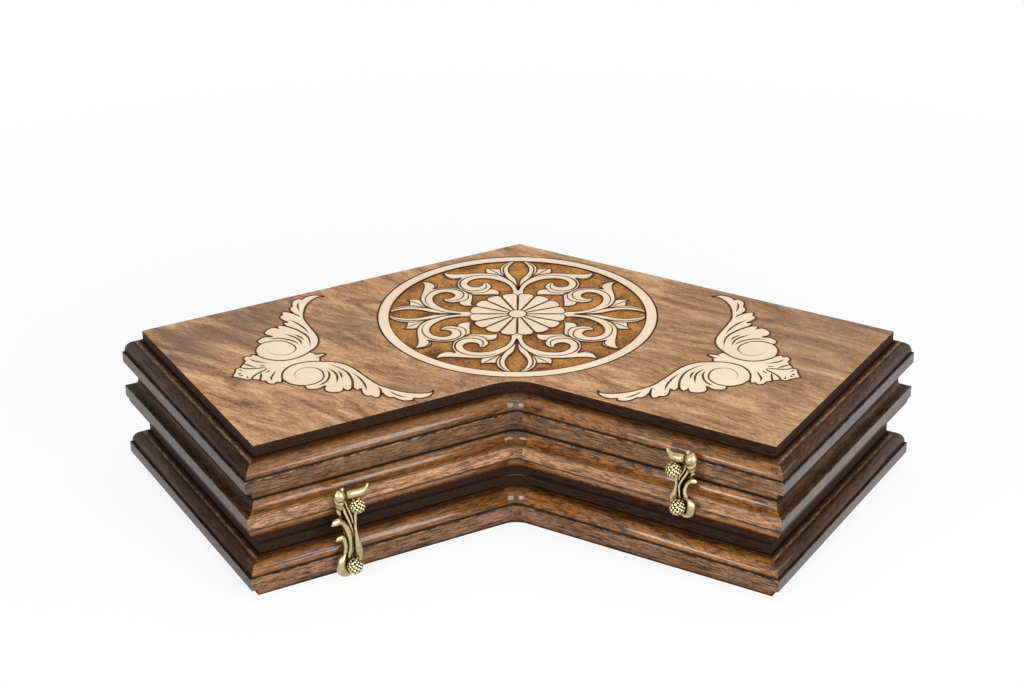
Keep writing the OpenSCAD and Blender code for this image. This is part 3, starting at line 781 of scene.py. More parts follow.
class Relief:
    """Flat carving in layers over a ground, each piece with a scorched rim."""

    def __init__(self, low, top):
        self.low = low
        self.rise = top
        self.pieces = []

    def keep(self, piece, scorched):
        """Gives a piece its two finishes; scorched tells which faces are burnt."""
        coat(piece, pale_carving, burnt_line)
        for face in piece.data.polygons:
            face.material_index = SCORCHED if scorched(face) else PALE
        self.pieces.append(piece)

    def plaque(self, points, places, rim=RIM):
        """A raised flat piece inside a closed outline, drawn flat and then set at each of the places."""
        count = len(points)
        for place in places:
            start_piece()
            bpy.ops.mesh.primitive_circle_add(vertices=count, fill_type="NGON")
            plate = bpy.context.object
            for vertex, point in zip(plate.data.vertices, points):
                vertex.co = (*point, self.low)
            plate.data.update()
            bpy.ops.object.mode_set(mode="EDIT")
            bpy.ops.mesh.select_all(action="SELECT")
            bpy.ops.mesh.extrude_region_move(TRANSFORM_OT_translate={"value": (0, 0, self.rise - self.low)})
            bpy.ops.mesh.select_all(action="SELECT")
            bpy.ops.mesh.quads_convert_to_tris(quad_method="BEAUTY", ngon_method="BEAUTY")
            bpy.ops.object.mode_set(mode="OBJECT")
            for vertex in plate.data.vertices:
                vertex.co = Vector((*place(vertex.co.xy), vertex.co.z)) * MM
            self.keep(plate, lambda face: face.center.z < (self.rise - LAYER / 2) * MM)
            rows = []
            for i in range(count + 1):
                ahead = points[(i + 1) % count] - points[i - 1 if i < count else count - 1]
                inward = left_of(ahead)
                edge = points[i % count]
                outer, inner = place(edge - inward * RIM_OUT), place(edge + inward * rim)
                rows.append(self.band(outer, inner))
            self.keep(strip(rows), lambda face: True)
        self.rise += LAYER

    def band(self, left, right):
        """The section of a scorched line between two plan points."""
        low, high = self.rise - LAYER, self.rise + LINE_RISE
        return [(*left, low), (*left, high), (*right, high), (*right, low), (*left, low)]

    def line(self, spine, places):
        """A scorched line along a spine of (sideways, outward, half width)."""
        for place in places:
            rows = []
            for step in range(RIBBON_STEPS + 1):
                at = step / RIBBON_STEPS
                here = through(spine, at)
                across = left_of(heading(spine, at)) * max(here.z, 0) * LINE_SWELL
                rows.append(self.band(place(here.xy - across), place(here.xy + across)))
            self.keep(strip(rows), lambda face: True)

    def disc(self, radius, place):
        """A round boss at the middle."""
        turns = [2 * math.pi * step / RIBBON_STEPS for step in range(RIBBON_STEPS)]
        self.plaque([Vector((math.cos(turn), math.sin(turn))) * radius for turn in turns], [place])

    def finish(self, name, body, *replaced):
        """Joins the carving into one piece and hands it over."""
        piece = join(self.pieces, name)
        clean(piece, CARVING_WELD * MM)
        bpy.ops.object.shade_smooth_by_angle(angle=CARVING_CREASE)
        shown(piece, body, "pale_carving", *replaced)


# Carved round: (sideways, outward) from its middle, for a ring of this radius
DRAWN_RING_R = 114
SCROLLS = mirrored(
    [(0, 33), (5, 34), (5, 44), (5.8, 50), (8.5, 57), (13, 62.5), (19, 67), (25, 69.4), (31, 69.9),
     (36, 68.6), (40, 65.2), (42, 60.6), (41.4, 56.6), (38.8, 53.8), (35.2, 53), (32, 54.4),
     (30.2, 57.4), (30.4, 60.6), (29, 62.2)],
    [(29, 62.2), (25.4, 60.6), (22.8, 57), (22.2, 52.5), (23.6, 48.6)],
    [(23.6, 48.6), (20, 48.4), (16.6, 45.6), (15.2, 41.4), (15.5, 37)],
    [(15.5, 37), (21, 37.8), (29, 37.4), (37.4, 37.4), (41.4, 39.8), (44.6, 44)],
    [(44.6, 44), (48, 47.2), (50.4, 51.6), (51.6, 57.6), (51.2, 63.4), (49.6, 68), (48.4, 71)],
    [(48.4, 71), (51, 68.6), (54.5, 67.6), (58.4, 69), (61.6, 72.2), (63.6, 76.4), (64, 80.2), (63, 84)],
    [(63, 84), (61.6, 81.2), (58.6, 79.6), (54, 79), (48, 79.2), (40, 80.2), (33, 80.8), (26, 80.4),
     (18, 77.6), (12, 72.6), (7, 66), (3, 58.5), (0.9, 51), (0, 46)],
)
SCROLL_LINES = [
    [(29.4, 61.4, 0), (27, 57.4, 0.3), (26.8, 52, 0.4), (29, 47.9, 0.4), (33.2, 45.6, 0.4), (39, 45, 0.42),
     (44, 47.4, 0.48), (47.6, 52, 0.55), (49, 58, 0.6), (48.4, 64, 0.55), (45.8, 69, 0.5), (41, 73.4, 0.42),
     (34, 76, 0.36), (27, 76.6, 0.3), (20, 75, 0.25), (15, 71.6, 0)],
    [(23.4, 48.6, 0.3), (26.2, 43.6, 0.4), (31, 41.2, 0.36), (37, 41, 0.3), (42, 43, 0)],
    [(48.4, 71.4, 0.6), (52, 69.6, 0.45), (57, 70.4, 0.42), (61, 74, 0.4), (62.6, 79, 0.3), (62.8, 83, 0)],
]
SIDE_LEAF = outline(
    [(9, 71), (17, 77), (23, 79.2), (26.6, 80.4)],
    [(26.6, 80.4), (28.2, 83.6), (28.2, 88), (27.6, 92.2)],
    [(27.6, 92.2), (25, 90.2), (20.6, 89.4), (14, 89.4)],
    [(14, 89.4), (12, 80), (9, 71)],
)
SIDE_VEIN = [(12, 74.5, 0), (20, 83, 0.42), (27.2, 91.2, 0.2)]
FLEUR = outline(
    [(0.3, 47), (1.6, 53), (4.6, 61), (8.6, 68), (12.2, 75), (15.2, 82), (16, 88.5), (14.8, 95),
     (11.4, 100.6), (7, 104), (0.6, 105.8)],
    [(0.6, 105.8), (4.6, 101.4), (7, 96), (8.3, 90), (8, 83.5), (6, 77), (2.6, 70), (0.8, 62), (0.3, 47)],
)
FLEUR_LINE = [
    (8.4, 70, 0), (11.2, 76, 0.4), (12.8, 84, 0.5), (12.8, 91, 0.5), (10.6, 97.6, 0.4), (5.6, 103.2, 0),
]
PETAL = outline(
    [(0, 5), (1.5, 8), (3.4, 18.5), (5.6, 29.5), (6.6, 34), (6.2, 37), (4, 39), (0, 39.6), (-4, 39),
     (-6.2, 37), (-6.6, 34), (-5.6, 29.5), (-3.4, 18.5), (-1.5, 8), (0, 5)],
)
PETALS = 16
HUB_R = 7.8


def round_places(count, sides=(1,), turn=0.0):
    """Takes a motif to each of its turns about the middle of the carved round, and its mirror images."""
    size = ring_r / MM / DRAWN_RING_R
    middle = medallion.xy / MM
    places = []
    for step in range(count):
        spin = Matrix.Rotation(2 * math.pi * (step + turn) / count, 2)
        for side in sides:
            places.append(lambda p, spin=spin, side=side: middle + spin @ Vector((side * p.x, p.y)) * size)
    return places


def carve_medallion():
    """Scrolls, side leaves and fleurs four times round, and the rosette in the middle."""
    relief = Relief(ground_z / MM - SINK, panel_top / MM - SCROLLS_UNDER)
    single = round_places(4)
    pairs = round_places(4, (1, -1))
    relief.plaque(SCROLLS, single)
    for spine in SCROLL_LINES:
        relief.line(spine, pairs)
    relief.plaque(SIDE_LEAF, pairs)
    relief.line(SIDE_VEIN, pairs)
    relief.plaque(FLEUR, pairs)
    relief.line(FLEUR_LINE, pairs)
    relief.finish("medallion_scrolls", "top_tray")
    rosette = Relief(ground_z / MM - SINK, panel_top / MM - ROSETTE_UNDER)
    rosette.plaque(PETAL, round_places(PETALS, turn=0.5), rim=PETAL_RIM)
    rosette.disc(HUB_R, round_places(1)[0])
    rosette.finish("rosette", "top_tray", "medallion_rosette")


carve_medallion()

# Corner ornament: (sideways, towards the round) from a point on the arm's middle line
ORNAMENT_ALONG = 277
ARM_MIDDLE = 126
ORNAMENT = mirrored(
    [(0, 31.2), (1.8, 30), (3.2, 27.4), (3.8, 24.8)],
    [(3.8, 24.8), (6, 23.8), (9.8, 22)],
    [(9.8, 22), (14.5, 29.5), (20.5, 34.5), (27.5, 38), (37, 40), (48, 41), (57, 42), (67, 43.5),
     (74, 46.2), (81.5, 50.2), (88.7, 55.2), (94.2, 61), (97.6, 66.5), (99.2, 71.5), (97.4, 75.6)],
    [(97.4, 75.6), (100.4, 74.6), (103.6, 71.5), (105.2, 68), (105.6, 63.5), (104.6, 60), (102.2, 56.6)],
    [(102.2, 56.6), (104.6, 55.3), (104.2, 51), (102, 47.5), (98.2, 45.2), (93.6, 43.6)],
    [(93.6, 43.6), (92, 41), (89, 39.4), (85.5, 38.9), (82.5, 39.6)],
    [(82.5, 39.6), (85, 37.6), (87.4, 35), (87.8, 32.8), (86.3, 31), (82.6, 29.9)],
    [(82.6, 29.9), (81.8, 27.6), (79.5, 26), (76.5, 25.8), (72.5, 26.5), (67, 28.5)],
    [(67, 28.5), (69.2, 27), (69.3, 25.2), (67.3, 23.9), (63.6, 24)],
    [(63.6, 24), (65.2, 21.6), (66, 19.3), (65.2, 17.4), (62.6, 16.8)],
    [(62.6, 16.8), (65, 14), (64.6, 10.5), (63, 7), (60.2, 4.2), (57, 3.2), (53.6, 3.9), (49.6, 6.8)],
    [(49.6, 6.8), (51.6, 3.6), (52.1, 0), (51, -4), (48.4, -7.2), (45, -8), (41.8, -7)],
    [(41.8, -7), (40.4, -9.6), (37, -13), (33, -15.4), (28, -16.8), (25, -17)],
    [(25, -17), (27.4, -18.8), (28.2, -20.8), (26, -22.5)],
    [(26, -22.5), (28, -24.8), (27, -27.6), (24, -29.8), (19.5, -30)],
    [(19.5, -30), (18.6, -31.6), (16.4, -33)],
    [(16.4, -33), (14.6, -35.2), (11.6, -37.6)],
    [(11.6, -37.6), (11.8, -40.2), (10.2, -42.4), (6.2, -44.6), (2.6, -47.4), (0, -49.6)],
)
ORNAMENT_LINES = [
    [(27, -18.6, 0.7), (23, -16.8, 0.6), (18, -15, 0.6), (13, -12, 0.62), (9, -8, 0.65), (6, -3, 0.65),
     (4.7, 2, 0.65), (4.6, 6, 0.65), (5.1, 10.5, 0.6), (6.7, 15.5, 0.6), (10, 22.2, 0.7)],
    [(28, -7, 0), (22, -6, 0.16), (17.5, -3, 0.2), (14.3, 2, 0.24), (14, 6, 0.24), (15.8, 10, 0.26),
     (19.5, 14, 0.4), (25, 15.3, 0.5), (30, 14.6, 0.5), (36, 12.3, 0.5), (40, 8, 0.55), (42.2, 3, 0.55),
     (42.5, -2, 0.55), (41.6, -7, 0.4)],
    [(26, 19.3, 0), (31, 19, 0.5), (37, 16.5, 0.65), (42.5, 12, 0.65), (45.5, 7, 0.6), (46.8, 2, 0)],
    [(23.5, 21, 0), (30, 22.8, 0.55), (36, 22.8, 0.65), (43, 20.5, 0.6), (50, 16.5, 0)],
    [(31, 26, 0), (36, 26.3, 0.55), (41, 25, 0.55), (45, 23.4, 0)],
    [(16, 24.6, 0), (26, 29, 0.4), (33, 31, 0.55), (40, 31.4, 0.7), (50, 29.5, 0.7), (57, 26.8, 0.75),
     (62, 24.2, 0.75), (64.6, 22, 0.5)],
    [(39, 34.8, 0), (50, 35.5, 0.55), (58, 35, 0.6), (65, 33.8, 0.55), (73, 31, 0)],
    [(71, 41.4, 0), (76, 41, 0.6), (81, 39.2, 0.75), (85, 37, 0.5)],
    [(81, 45.6, 0), (88, 47, 0.5), (94, 49.4, 0.55), (98.4, 52.6, 0)],
    [(58.6, 18, 0), (61.4, 17, 0.55), (63.6, 16.6, 0.5)],
    [(7, -15, 0), (12, -19.5, 0.55), (17, -23.5, 0.6), (22.5, -25, 0)],
    [(3.2, -26, 0), (9, -28.6, 0.6), (13.5, -31, 0.65), (16.4, -33, 0.5)],
    [(0.4, -19.8, 0.3), (2.4, -22.5, 0.55), (3.4, -26, 0.6), (5.2, -30.4, 0.6), (8, -34.5, 0.65),
     (11.4, -37.4, 0.5)],
    [(3.4, -19.4, 0), (5.6, -20.6, 0.55), (6.6, -24.6, 0)],
    [(3.6, -38, 0), (7.6, -39.2, 0.5), (8.6, -39.8, 0)],
    [(0.6, -40.6, 0), (1.8, -42, 0.8), (0.8, -43.6, 0)],
    [(0.4, 30.6, 0.3), (2, 26.4, 0.42), (2.6, 23, 0.36), (1.4, 20.4, 0)],
]


def arm_places(side):
    """Takes a point of the corner ornament to an arm, and to its mirror image over the arm's middle line."""
    apex = Vector((0, cad_box[1].y / MM))
    along = Vector((side * RUN, -FALL))
    inward = Vector((-side * FALL, -RUN))

    def place(point, flip):
        return apex + along * (ORNAMENT_ALONG - point.y) + inward * (ARM_MIDDLE + flip * point.x)

    return [lambda p, flip=flip: place(p, flip) for flip in (1, -1)]


def carve_corner(side, name):
    """The winged ornament on one arm."""
    relief = Relief(panel_top / MM - ORNAMENT_RISE, panel_top / MM + ORNAMENT_RISE)
    places = arm_places(side)
    relief.plaque(ORNAMENT, places[:1], rim=ORNAMENT_RIM)
    relief.rise -= LAYER
    for spine in ORNAMENT_LINES:
        relief.line(spine, places)
    relief.finish(name, "top_tray")


carve_corner(-1, "left_corner_ornament")
carve_corner(1, "right_corner_ornament")

# Latches: (towards the notch, up, out of the face, half width, half depth) from the pivot, for a long latch
LONG_SPAN = 51.9
CLAW_HIGH = [
    (-19.6, 36.2, 7.2, 0.6, 0.8), (-17.2, 38.8, 8.2, 2.6, 2.2), (-14.2, 39.4, 7.8, 2.9, 2.4),
    (-10.4, 37.4, 6.8, 2.3, 2.4), (-6.4, 32.4, 6.2, 2.5, 2.6), (-3.8, 24.6, 6.0, 2.3, 2.6),
    (-2.8, 15.6, 5.6, 2.1, 2.6), (-3.0, 5, 5.0, 1.9, 2.4),
]
CLAW_LOW = [
    (-15.2, 22.4, 6.8, 0.6, 0.8), (-12.8, 24.8, 7.6, 2.1, 1.8), (-10, 24.4, 7.2, 2.3, 2.0),
    (-7.6, 21, 6.2, 2.0, 2.2), (-6, 15, 5.4, 1.8, 2.2), (-6.2, 8, 4.8, 1.7, 2.0),
]
CLAW_SHORT = [
    (-17.2, 34.9, 7.0, 0.6, 0.8), (-14.8, 37.4, 7.8, 2.0, 1.9), (-12.2, 36.6, 7.4, 2.1, 2.0),
    (-9.6, 33.4, 6.6, 1.8, 2.0), (-7.2, 28.6, 6.0, 1.6, 2.0), (-5.4, 21, 5.6, 1.7, 2.2),
    (-5.2, 13, 5.2, 2.0, 2.2), (-5.4, 7, 4.8, 1.9, 2.0),
]
STEM = [
    (1.0, 46, 5.2, 1.2, 1.6), (0.6, 38, 5.6, 1.3, 1.9), (0.8, 30, 5.8, 1.6, 2.2), (2, 22.5, 6.0, 2.3, 2.5),
    (4.2, 14.5, 6.0, 3.1, 2.9), (5.2, 6, 5.4, 3.3, 2.8), (3.6, -1, 4.4, 3.0, 2.4),
]
BLADE_OUT = [
    (-14.6, 56, 6.0, 1.6, 2.0), (-14.2, 50, 6.2, 2.2, 2.2), (-12.8, 45.2, 5.8, 1.6, 1.8),
    (-10.6, 41.6, 5.2, 0.5, 0.8),
]
BLADE_MID = [
    (-13, 58, 6.4, 1.2, 1.8), (-11, 52, 6.8, 1.4, 2.2), (-8.4, 45, 6.8, 1.3, 2.2),
    (-4.8, 37, 6.4, 1.2, 2.0), (-1.6, 28, 6.0, 1.0, 1.8), (-0.6, 18, 5.4, 0.9, 1.8),
    (-0.4, 8, 5.0, 0.9, 1.8),
]
BLADE_IN = [
    (-10, 58.6, 6.6, 1.0, 1.8), (-7.8, 52, 6.4, 1.2, 2.2), (-5, 45.6, 6.0, 1.1, 2.0),
    (-2.2, 38.6, 5.6, 0.9, 1.8), (-0.8, 31, 5.2, 0.7, 1.6),
]
BUD = [
    (-12, 49, 6.4, 1.8, 2.4), (-13.8, 53.6, 7.2, 4.0, 3.4), (-14.4, 58.6, 8.0, 4.9, 4.4),
    (-14, 62.6, 8.2, 4.9, 4.4), (-12.8, 65.6, 7.4, 3.4, 3.0),
]
BUD_LIP = [
    (-18.8, 60.4, 8.8, 0.6, 0.7), (-17.2, 57.6, 10.6, 1.4, 1.1), (-14.2, 56.4, 11.4, 1.6, 1.2),
    (-11.4, 57.4, 10.4, 1.4, 1.1), (-9.8, 60, 8.8, 0.6, 0.7),
]
BUD_TIP = [
    (-14.6, 64, 7.2, 1.8, 2.0), (-12, 65.8, 7.4, 2.0, 2.2), (-9.8, 66.8, 6.8, 0.7, 0.8),
]
HORN = [
    (-9.4, 60.6, 6.6, 2.8, 3.0), (-6, 61, 7.4, 3.7, 3.8), (-1.2, 61.4, 7.8, 3.9, 4.0),
    (3.6, 62.2, 7.8, 3.4, 3.6), (7.4, 64, 7.4, 2.4, 2.6), (9.8, 67.2, 7.0, 0.7, 0.8),
]
HORN_SHORT = [
    (-9.4, 60.6, 6.6, 2.6, 2.8), (-6.6, 61, 7.4, 3.4, 3.6), (-2.8, 61.4, 7.8, 3.5, 3.6),
    (1, 62.4, 7.8, 3.0, 3.2), (4, 64.4, 7.4, 2.1, 2.2), (5.8, 67.4, 7.0, 0.7, 0.8),
]
COLLAR = [
    (-7, 49.6, 4.2, 2.0, 2.2), (-3.4, 46, 4.0, 2.2, 2.2), (1.4, 45, 4.0, 2.2, 2.2),
    (5.6, 47.4, 4.0, 1.8, 2.0), (7.8, 51.6, 4.2, 0.6, 1.0),
]
CUP = [
    (-6.2, 9.4, 4.8, 1.4, 2.2), (-8.8, 5.6, 5.8, 3.0, 3.4), (-9.6, 0, 6.2, 3.8, 3.8),
    (-8, -5.4, 5.6, 3.6, 3.4), (-4.4, -8.4, 4.8, 2.6, 2.6), (0, -8.6, 4.2, 1.4, 1.8),
]
BACK_PLATE = [
    (-2, 9, 3.2, 3.0, 2.0), (-2, 2, 3.4, 8.4, 2.4), (-2, -6.6, 3.2, 5.4, 2.0),
]
WEB = [
    (-3, 4, 3.6, 3.0, 1.0), (-2.6, 15, 3.8, 3.6, 1.0), (-3, 25, 4.0, 4.0, 1.0), (-5.5, 36, 4.2, 4.6, 1.0),
    (-8, 46, 4.4, 5.0, 1.0), (-10, 54, 4.6, 3.6, 1.0),
]
LATCH_RODS = [WEB, STEM, BLADE_OUT, BLADE_MID, BLADE_IN, BUD, BUD_LIP, BUD_TIP, COLLAR, CUP, BACK_PLATE]
ROD_STEPS = 36
ROD_SIDES = 16
ROD_END_STEPS = 5
CAST_VOXEL = 0.42
BERRY_R = 6.3
BERRY_OUT = 10.6
SEEDS = 62
SEED_RISE = 1.0
SEED_REACH = 0.54
HOLLOW_LEVEL = 0.4
HOLLOW_GAIN = 5.0
HOLLOW_ROUNDS = 6


def middle(node):
    """The middle of a CAD node's box."""
    low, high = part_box(node)
    return (low + high) / 2


class LatchPlace:
    """Where a latch stands: its pivot, its catch and the directions towards the notch, up and out."""

    def __init__(self, hand, side):
        self.hand = hand
        self.pivot = Vector(joints[f"{hand}_latch_turn"]["pos_m"])
        rise = middle(f"{hand}_latch_catch") - middle(f"{hand}_latch_pivot")
        self.catch = self.pivot + rise
        self.span = rise.length / MM
        self.up = rise.normalized()
        self.out = Vector((-side * FALL, -RUN, 0))
        self.towards = self.out.cross(self.up) * side

    def point(self, u, v, w):
        """A point given towards the notch, up and out, in millimetres."""
        return self.pivot / MM + self.towards * u + self.up * v + self.out * w


def rod(spine, latch):
    """A tapered casting along a spine, rounded off at both ends."""
    rows = []
    for step in range(ROD_STEPS + 1):
        at = (1 - math.cos(math.pi * step / ROD_STEPS)) / 2
        u, v, w, half, depth = through(spine, at)
        across = left_of(heading(spine, at))
        end = min(step, ROD_STEPS - step) / ROD_END_STEPS
        round_off = math.sqrt(max(0, 1 - max(0, 1 - end) ** 2))
        row = []
        for side in range(ROD_SIDES + 1):
            turn = 2 * math.pi * (side % ROD_SIDES) / ROD_SIDES
            reach = half * round_off * math.cos(turn)
            rise = depth * round_off * math.sin(turn)
            row.append(latch.point(u + across.x * reach, v + across.y * reach, w + rise))
        rows.append(row)
    sheet = strip(rows)
    clean(sheet, PIECE_WELD * MM)
    return sheet


def store_hollows(mesh, values):
    """Keeps how hollow each vertex is, from 0 to 1, for the finish to read."""
    store = mesh.attributes.new("hollow", "FLOAT", "POINT")
    store.data.foreach_set("value", [min(max(value, 0), 1) for value in values])


def mark_hollows(mesh):
    """Finds how far each vertex lies below its neighbours, for the black of the hollows."""
    linked = [[] for vertex in mesh.vertices]
    for edge in mesh.edges:
        first, second = edge.vertices
        linked[first].append(second)
        linked[second].append(first)
    places = [vertex.co.copy() for vertex in mesh.vertices]
    normals = [vertex.normal.copy() for vertex in mesh.vertices]
    depth = []
    for i, near in enumerate(linked):
        rise = sum((places[j] - places[i]).normalized().dot(normals[i]) for j in near)
        depth.append(rise / max(len(near), 1))
    for turn in range(HOLLOW_ROUNDS):
        depth = [(depth[i] + sum(depth[j] for j in near)) / (1 + len(near)) for i, near in enumerate(linked)]
    store_hollows(mesh, [HOLLOW_LEVEL + value * HOLLOW_GAIN for value in depth])


def apply_all(piece):
    """Applies a piece's modifiers in their order."""
    hold(piece)
    for modifier in list(piece.modifiers):
        bpy.ops.object.modifier_apply(modifier=modifier.name)


def cast_latch(latch, claws):
    """One cast arm: stems and leaves that run from the bud and horn at the catch to the pivot's cup."""

    def fitted(spine):
        points = []
        for u, v, w, half, depth in spine:
            if v > LONG_SPAN:
                v += latch.span - LONG_SPAN
            elif v > 0:
                v *= latch.span / LONG_SPAN
            points.append((u, v, w, half, depth))
        return points

    rods = [rod(fitted(spine), latch) for spine in LATCH_RODS + claws]
    arm = join(rods, f"{latch.hand}_latch_casting")
    cast = arm.modifiers.new("cast", "REMESH")
    cast.mode = "VOXEL"
    cast.voxel_size = CAST_VOXEL * MM
    smooth = arm.modifiers.new("smooth", "SMOOTH")
    smooth.factor = 0.5
    smooth.iterations = 3
    apply_all(arm)
    bpy.ops.object.shade_smooth()
    coat(arm, antique_brass)
    mark_hollows(arm.data)
    shown(arm, f"{latch.hand}_latch", "antique_brass", f"{latch.hand}_latch_arm")


def berry(node, foot, latch, body):
    """A ball of seeds on the stud whose axis leaves the face at its foot."""
    centre = foot + latch.out * BERRY_OUT * MM
    start_piece()
    bpy.ops.mesh.primitive_ico_sphere_add(subdivisions=6, radius=1)
    head = bpy.context.object
    golden = math.pi * (3 - math.sqrt(5))
    seeds = []
    for i in range(SEEDS):
        height = 1 - 2 * (i + 0.5) / SEEDS
        ring = math.sqrt(1 - height * height)
        seeds.append(Vector((ring * math.cos(golden * i), ring * math.sin(golden * i), height)))
    reach = math.sqrt(4 * math.pi / SEEDS) * SEED_REACH
    hollows = []
    for vertex in head.data.vertices:
        ray = vertex.co.normalized()
        away = min((ray - seed).length for seed in seeds) / reach
        dome = math.sqrt(max(0, 1 - away * away))
        hollows.append(1.1 - dome * 1.3)
        vertex.co = centre + ray * (BERRY_R - SEED_RISE * (1 - dome)) * MM
    store_hollows(head.data, hollows)
    coat(head, antique_brass)
    bpy.ops.object.shade_smooth()
    shown(join([head], f"{node}_berry"), body, "antique_brass", node)


left_latch = LatchPlace("left", -1)
right_latch = LatchPlace("right", 1)
cast_latch(left_latch, [HORN, CLAW_HIGH, CLAW_LOW])
cast_latch(right_latch, [HORN_SHORT, CLAW_SHORT])
berry("left_latch_pivot", left_latch.pivot, left_latch, "bottom_tray")
berry("left_latch_catch", left_latch.catch, left_latch, "middle_tray")
berry("right_latch_pivot", right_latch.pivot, right_latch, "middle_tray")
berry("right_latch_catch", right_latch.catch, right_latch, "top_tray")

# Dice: the places of the pips by their count, and the faces' outward and sideways directions by their count
PIPS = {
    1: ((0, 0),),
    2: ((-1, -1), (1, 1)),
    3: ((-1, -1), (0, 0), (1, 1)),
    4: ((-1, -1), (-1, 1), (1, -1), (1, 1)),
    5: ((-1, -1), (-1, 1), (0, 0), (1, -1), (1, 1)),
    6: ((-1, -1), (-1, 0), (-1, 1), (1, -1), (1, 0), (1, 1)),
}
DIE_FACES = {
    5: ((0, 0, 1), (1, 0, 0)), 2: ((0, 0, -1), (1, 0, 0)), 3: ((1, 0, 0), (0, 1, 0)),
    4: ((-1, 0, 0), (0, 1, 0)), 1: ((0, 1, 0), (1, 0, 0)), 6: ((0, -1, 0), (0, 0, 1)),
}
# Shares of the die's edge: how far the pips stand apart, their radius, and the radius that rounds the corners
PIP_SPREAD = 0.26
PIP_R = 0.11
DIE_ROUND = 0.72
PIP_FINISH = 1
DIE_CREASE = math.radians(30)


def cut(piece, tool, operation):
    """Applies a boolean with a tool, which goes away."""
    change = piece.modifiers.new("cut", "BOOLEAN")
    change.operation = operation
    change.object = tool
    apply_all(piece)
    bpy.data.objects.remove(tool)


def ball(centre, radius, rings):
    """A ball to cut with."""
    start_piece()
    bpy.ops.mesh.primitive_uv_sphere_add(segments=2 * rings, ring_count=rings, radius=radius)
    sphere = bpy.context.object
    for vertex in sphere.data.vertices:
        vertex.co += centre
    return sphere


def die(centre, size, turn):
    """A rounded cube with a hollow for each pip."""
    start_piece()
    bpy.ops.mesh.primitive_cube_add(size=size)
    cube = bpy.context.object
    for vertex in cube.data.vertices:
        vertex.co += centre
    coat(cube, die_ivory, pip_black)
    cut(cube, ball(centre, size * DIE_ROUND, 32), "INTERSECT")
    pips = []
    for count, (normal, side) in DIE_FACES.items():
        normal, side = turn @ Vector(normal), turn @ Vector(side)
        for across, along in PIPS[count]:
            place = normal * 0.5 + (side * across + normal.cross(side) * along) * PIP_SPREAD
            pips.append(ball(centre + place * size, size * PIP_R, 8))
    hollows = join(pips, "hollows")
    coat(hollows, die_ivory, pip_black)
    for face in hollows.data.polygons:
        face.material_index = PIP_FINISH
    cut(cube, hollows, "DIFFERENCE")
    return cube


def shape_dice():
    """Two dice in place of the plain ones, the second one a quarter turned."""
    low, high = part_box("dice")
    size = high.z - low.z
    centre = (low + high) / 2
    apart = Vector((high.x - low.x - size, 0, 0)) / 2
    quarter = Matrix.Rotation(math.pi / 2, 3, "X")
    pair = [die(centre - apart, size, Matrix.Identity(3)), die(centre + apart, size, quarter)]
    piece = join(pair, "pipped_dice")
    clean(piece, PIECE_WELD * MM)
    bpy.ops.object.shade_smooth_by_angle(angle=DIE_CREASE)
    shown(piece, "middle_tray", "die_ivory", "dice")


shape_dice()

# Camera, floor and light
CAMERA_AT = Vector((21.193, -1659.821, 931.642)) * MM
CAMERA_YAW = math.radians(0.8683)
CAMERA_PITCH = math.radians(26.0697)
CAMERA_ROLL = math.radians(-0.3222)
FOCAL_PX = 2310.68
IMAGE_W = 1024
SENSOR = 36
WORLD_LIGHT = 0.28
FLOOR_SIZE = 12
FLOOR_GLOW = 0.86
GLOW_REACH = (400, 1100)


def add_camera():
    """The camera, turned left, tilted down and then rolled."""
    start_piece()
    bpy.ops.object.camera_add(location=CAMERA_AT)
    camera = bpy.context.object
    turn = Matrix.Rotation(CAMERA_YAW, 4, "Z")
    tilt = Matrix.Rotation(math.pi / 2 - CAMERA_PITCH, 4, "X")
    roll = Matrix.Rotation(CAMERA_ROLL, 4, "Z")
    camera.rotation_euler = (turn @ tilt @ roll).to_euler()
    camera.data.sensor_width = SENSOR
    camera.data.sensor_fit = "HORIZONTAL"
    camera.data.lens = FOCAL_PX * SENSOR / IMAGE_W
    bpy.context.scene.camera = camera


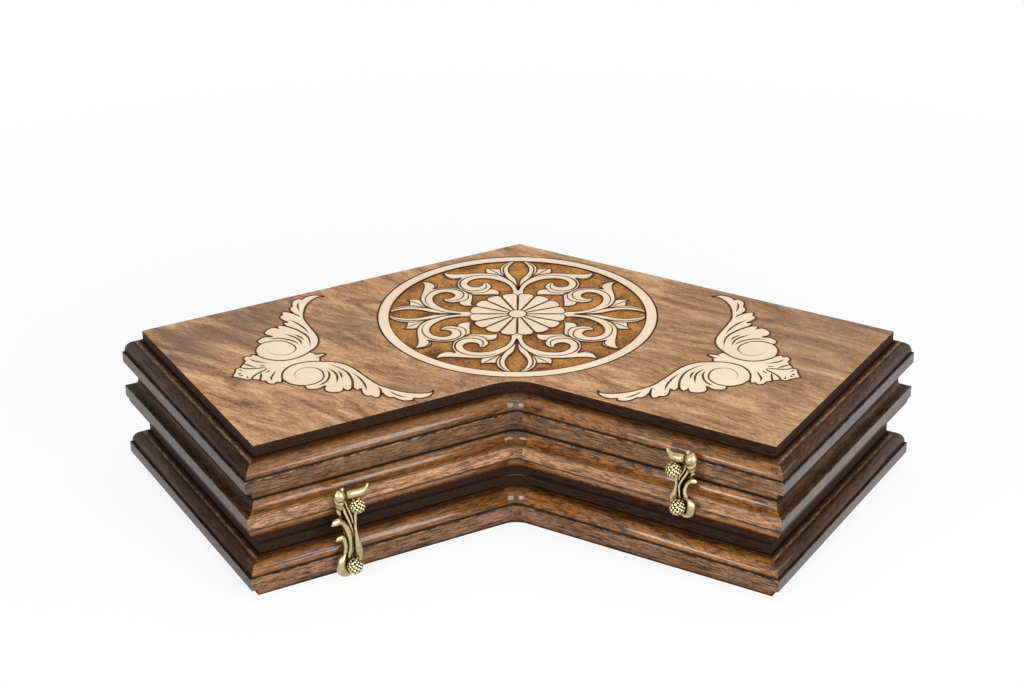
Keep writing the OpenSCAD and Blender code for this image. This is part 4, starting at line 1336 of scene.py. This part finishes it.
def softbox(name, place, width, height, power):
    """A soft area light aimed at the middle of the case."""
    start_piece()
    bpy.ops.object.light_add(type="AREA", location=place)
    lamp = bpy.context.object
    lamp.name = name
    lamp.data.shape = "RECTANGLE"
    lamp.data.size = width
    lamp.data.size_y = height
    lamp.data.energy = power
    aim = Vector((0, 0, panel_top / 2)) - Vector(place)
    lamp.rotation_euler = aim.to_track_quat("-Z", "Y").to_euler()
    return lamp


def seen_directly(n):
    """1 for rays from the camera, from gloss and through glass."""
    path = n.add("ShaderNodeLightPath").outputs
    seen = n.most(path["Is Camera Ray"], path["Is Glossy Ray"])
    return n.most(seen, path["Is Transmission Ray"])


def white_world():
    """A white room that is seen white and lights softly."""
    world = bpy.data.worlds.new("white_room")
    world.use_nodes = True
    n = Nodes(world.node_tree)
    background = world.node_tree.nodes["Background"]
    background.inputs["Color"].default_value = WHITE
    n.feed(background.inputs["Strength"], n.scale(seen_directly(n), WORLD_LIGHT, 1.0))
    bpy.context.scene.world = world


def white_floor():
    """A white floor that takes the case's shadow and fades into the room."""
    start_piece()
    bpy.ops.mesh.primitive_plane_add(size=FLOOR_SIZE, location=(0, 0, 0))
    floor = bpy.context.object
    floor.name = "floor"
    material, n, shader = new_material("white_floor", Base_Color=FLOOR_WHITE, Roughness=0.9)
    shader["Specular IOR Level"].default_value = 0.0
    output = material.node_tree.nodes["Material Output"]
    glow = n.add("ShaderNodeEmission", {"Color": WHITE, "Strength": 1.0}).outputs[0]
    away = n.add("ShaderNodeVectorMath", {0: n.object_mm()}, operation="LENGTH").outputs["Value"]
    share = n.product(seen_directly(n), n.scale(n.fade(away, *GLOW_REACH), FLOOR_GLOW, 1.0))
    blend = n.add("ShaderNodeMixShader", {0: share, 2: glow})
    n.feed(blend.inputs[1], material.node_tree.nodes["Principled BSDF"].outputs[0])
    n.feed(output.inputs["Surface"], blend.outputs[0])
    floor.data.materials.append(material)


add_camera()
white_world()
white_floor()
top_softbox = softbox("top_softbox", (0.1, 0.3, 2.2), 2.0, 2.0, 16.5)
top_softbox.visible_glossy = False
softbox("right_softbox", (1.2, -1.3, 0.75), 1.6, 1.1, 30)
softbox("left_softbox", (-0.95, -1.5, 0.75), 0.9, 0.8, 18)
bpy.context.scene.view_settings.view_transform = "Standard"
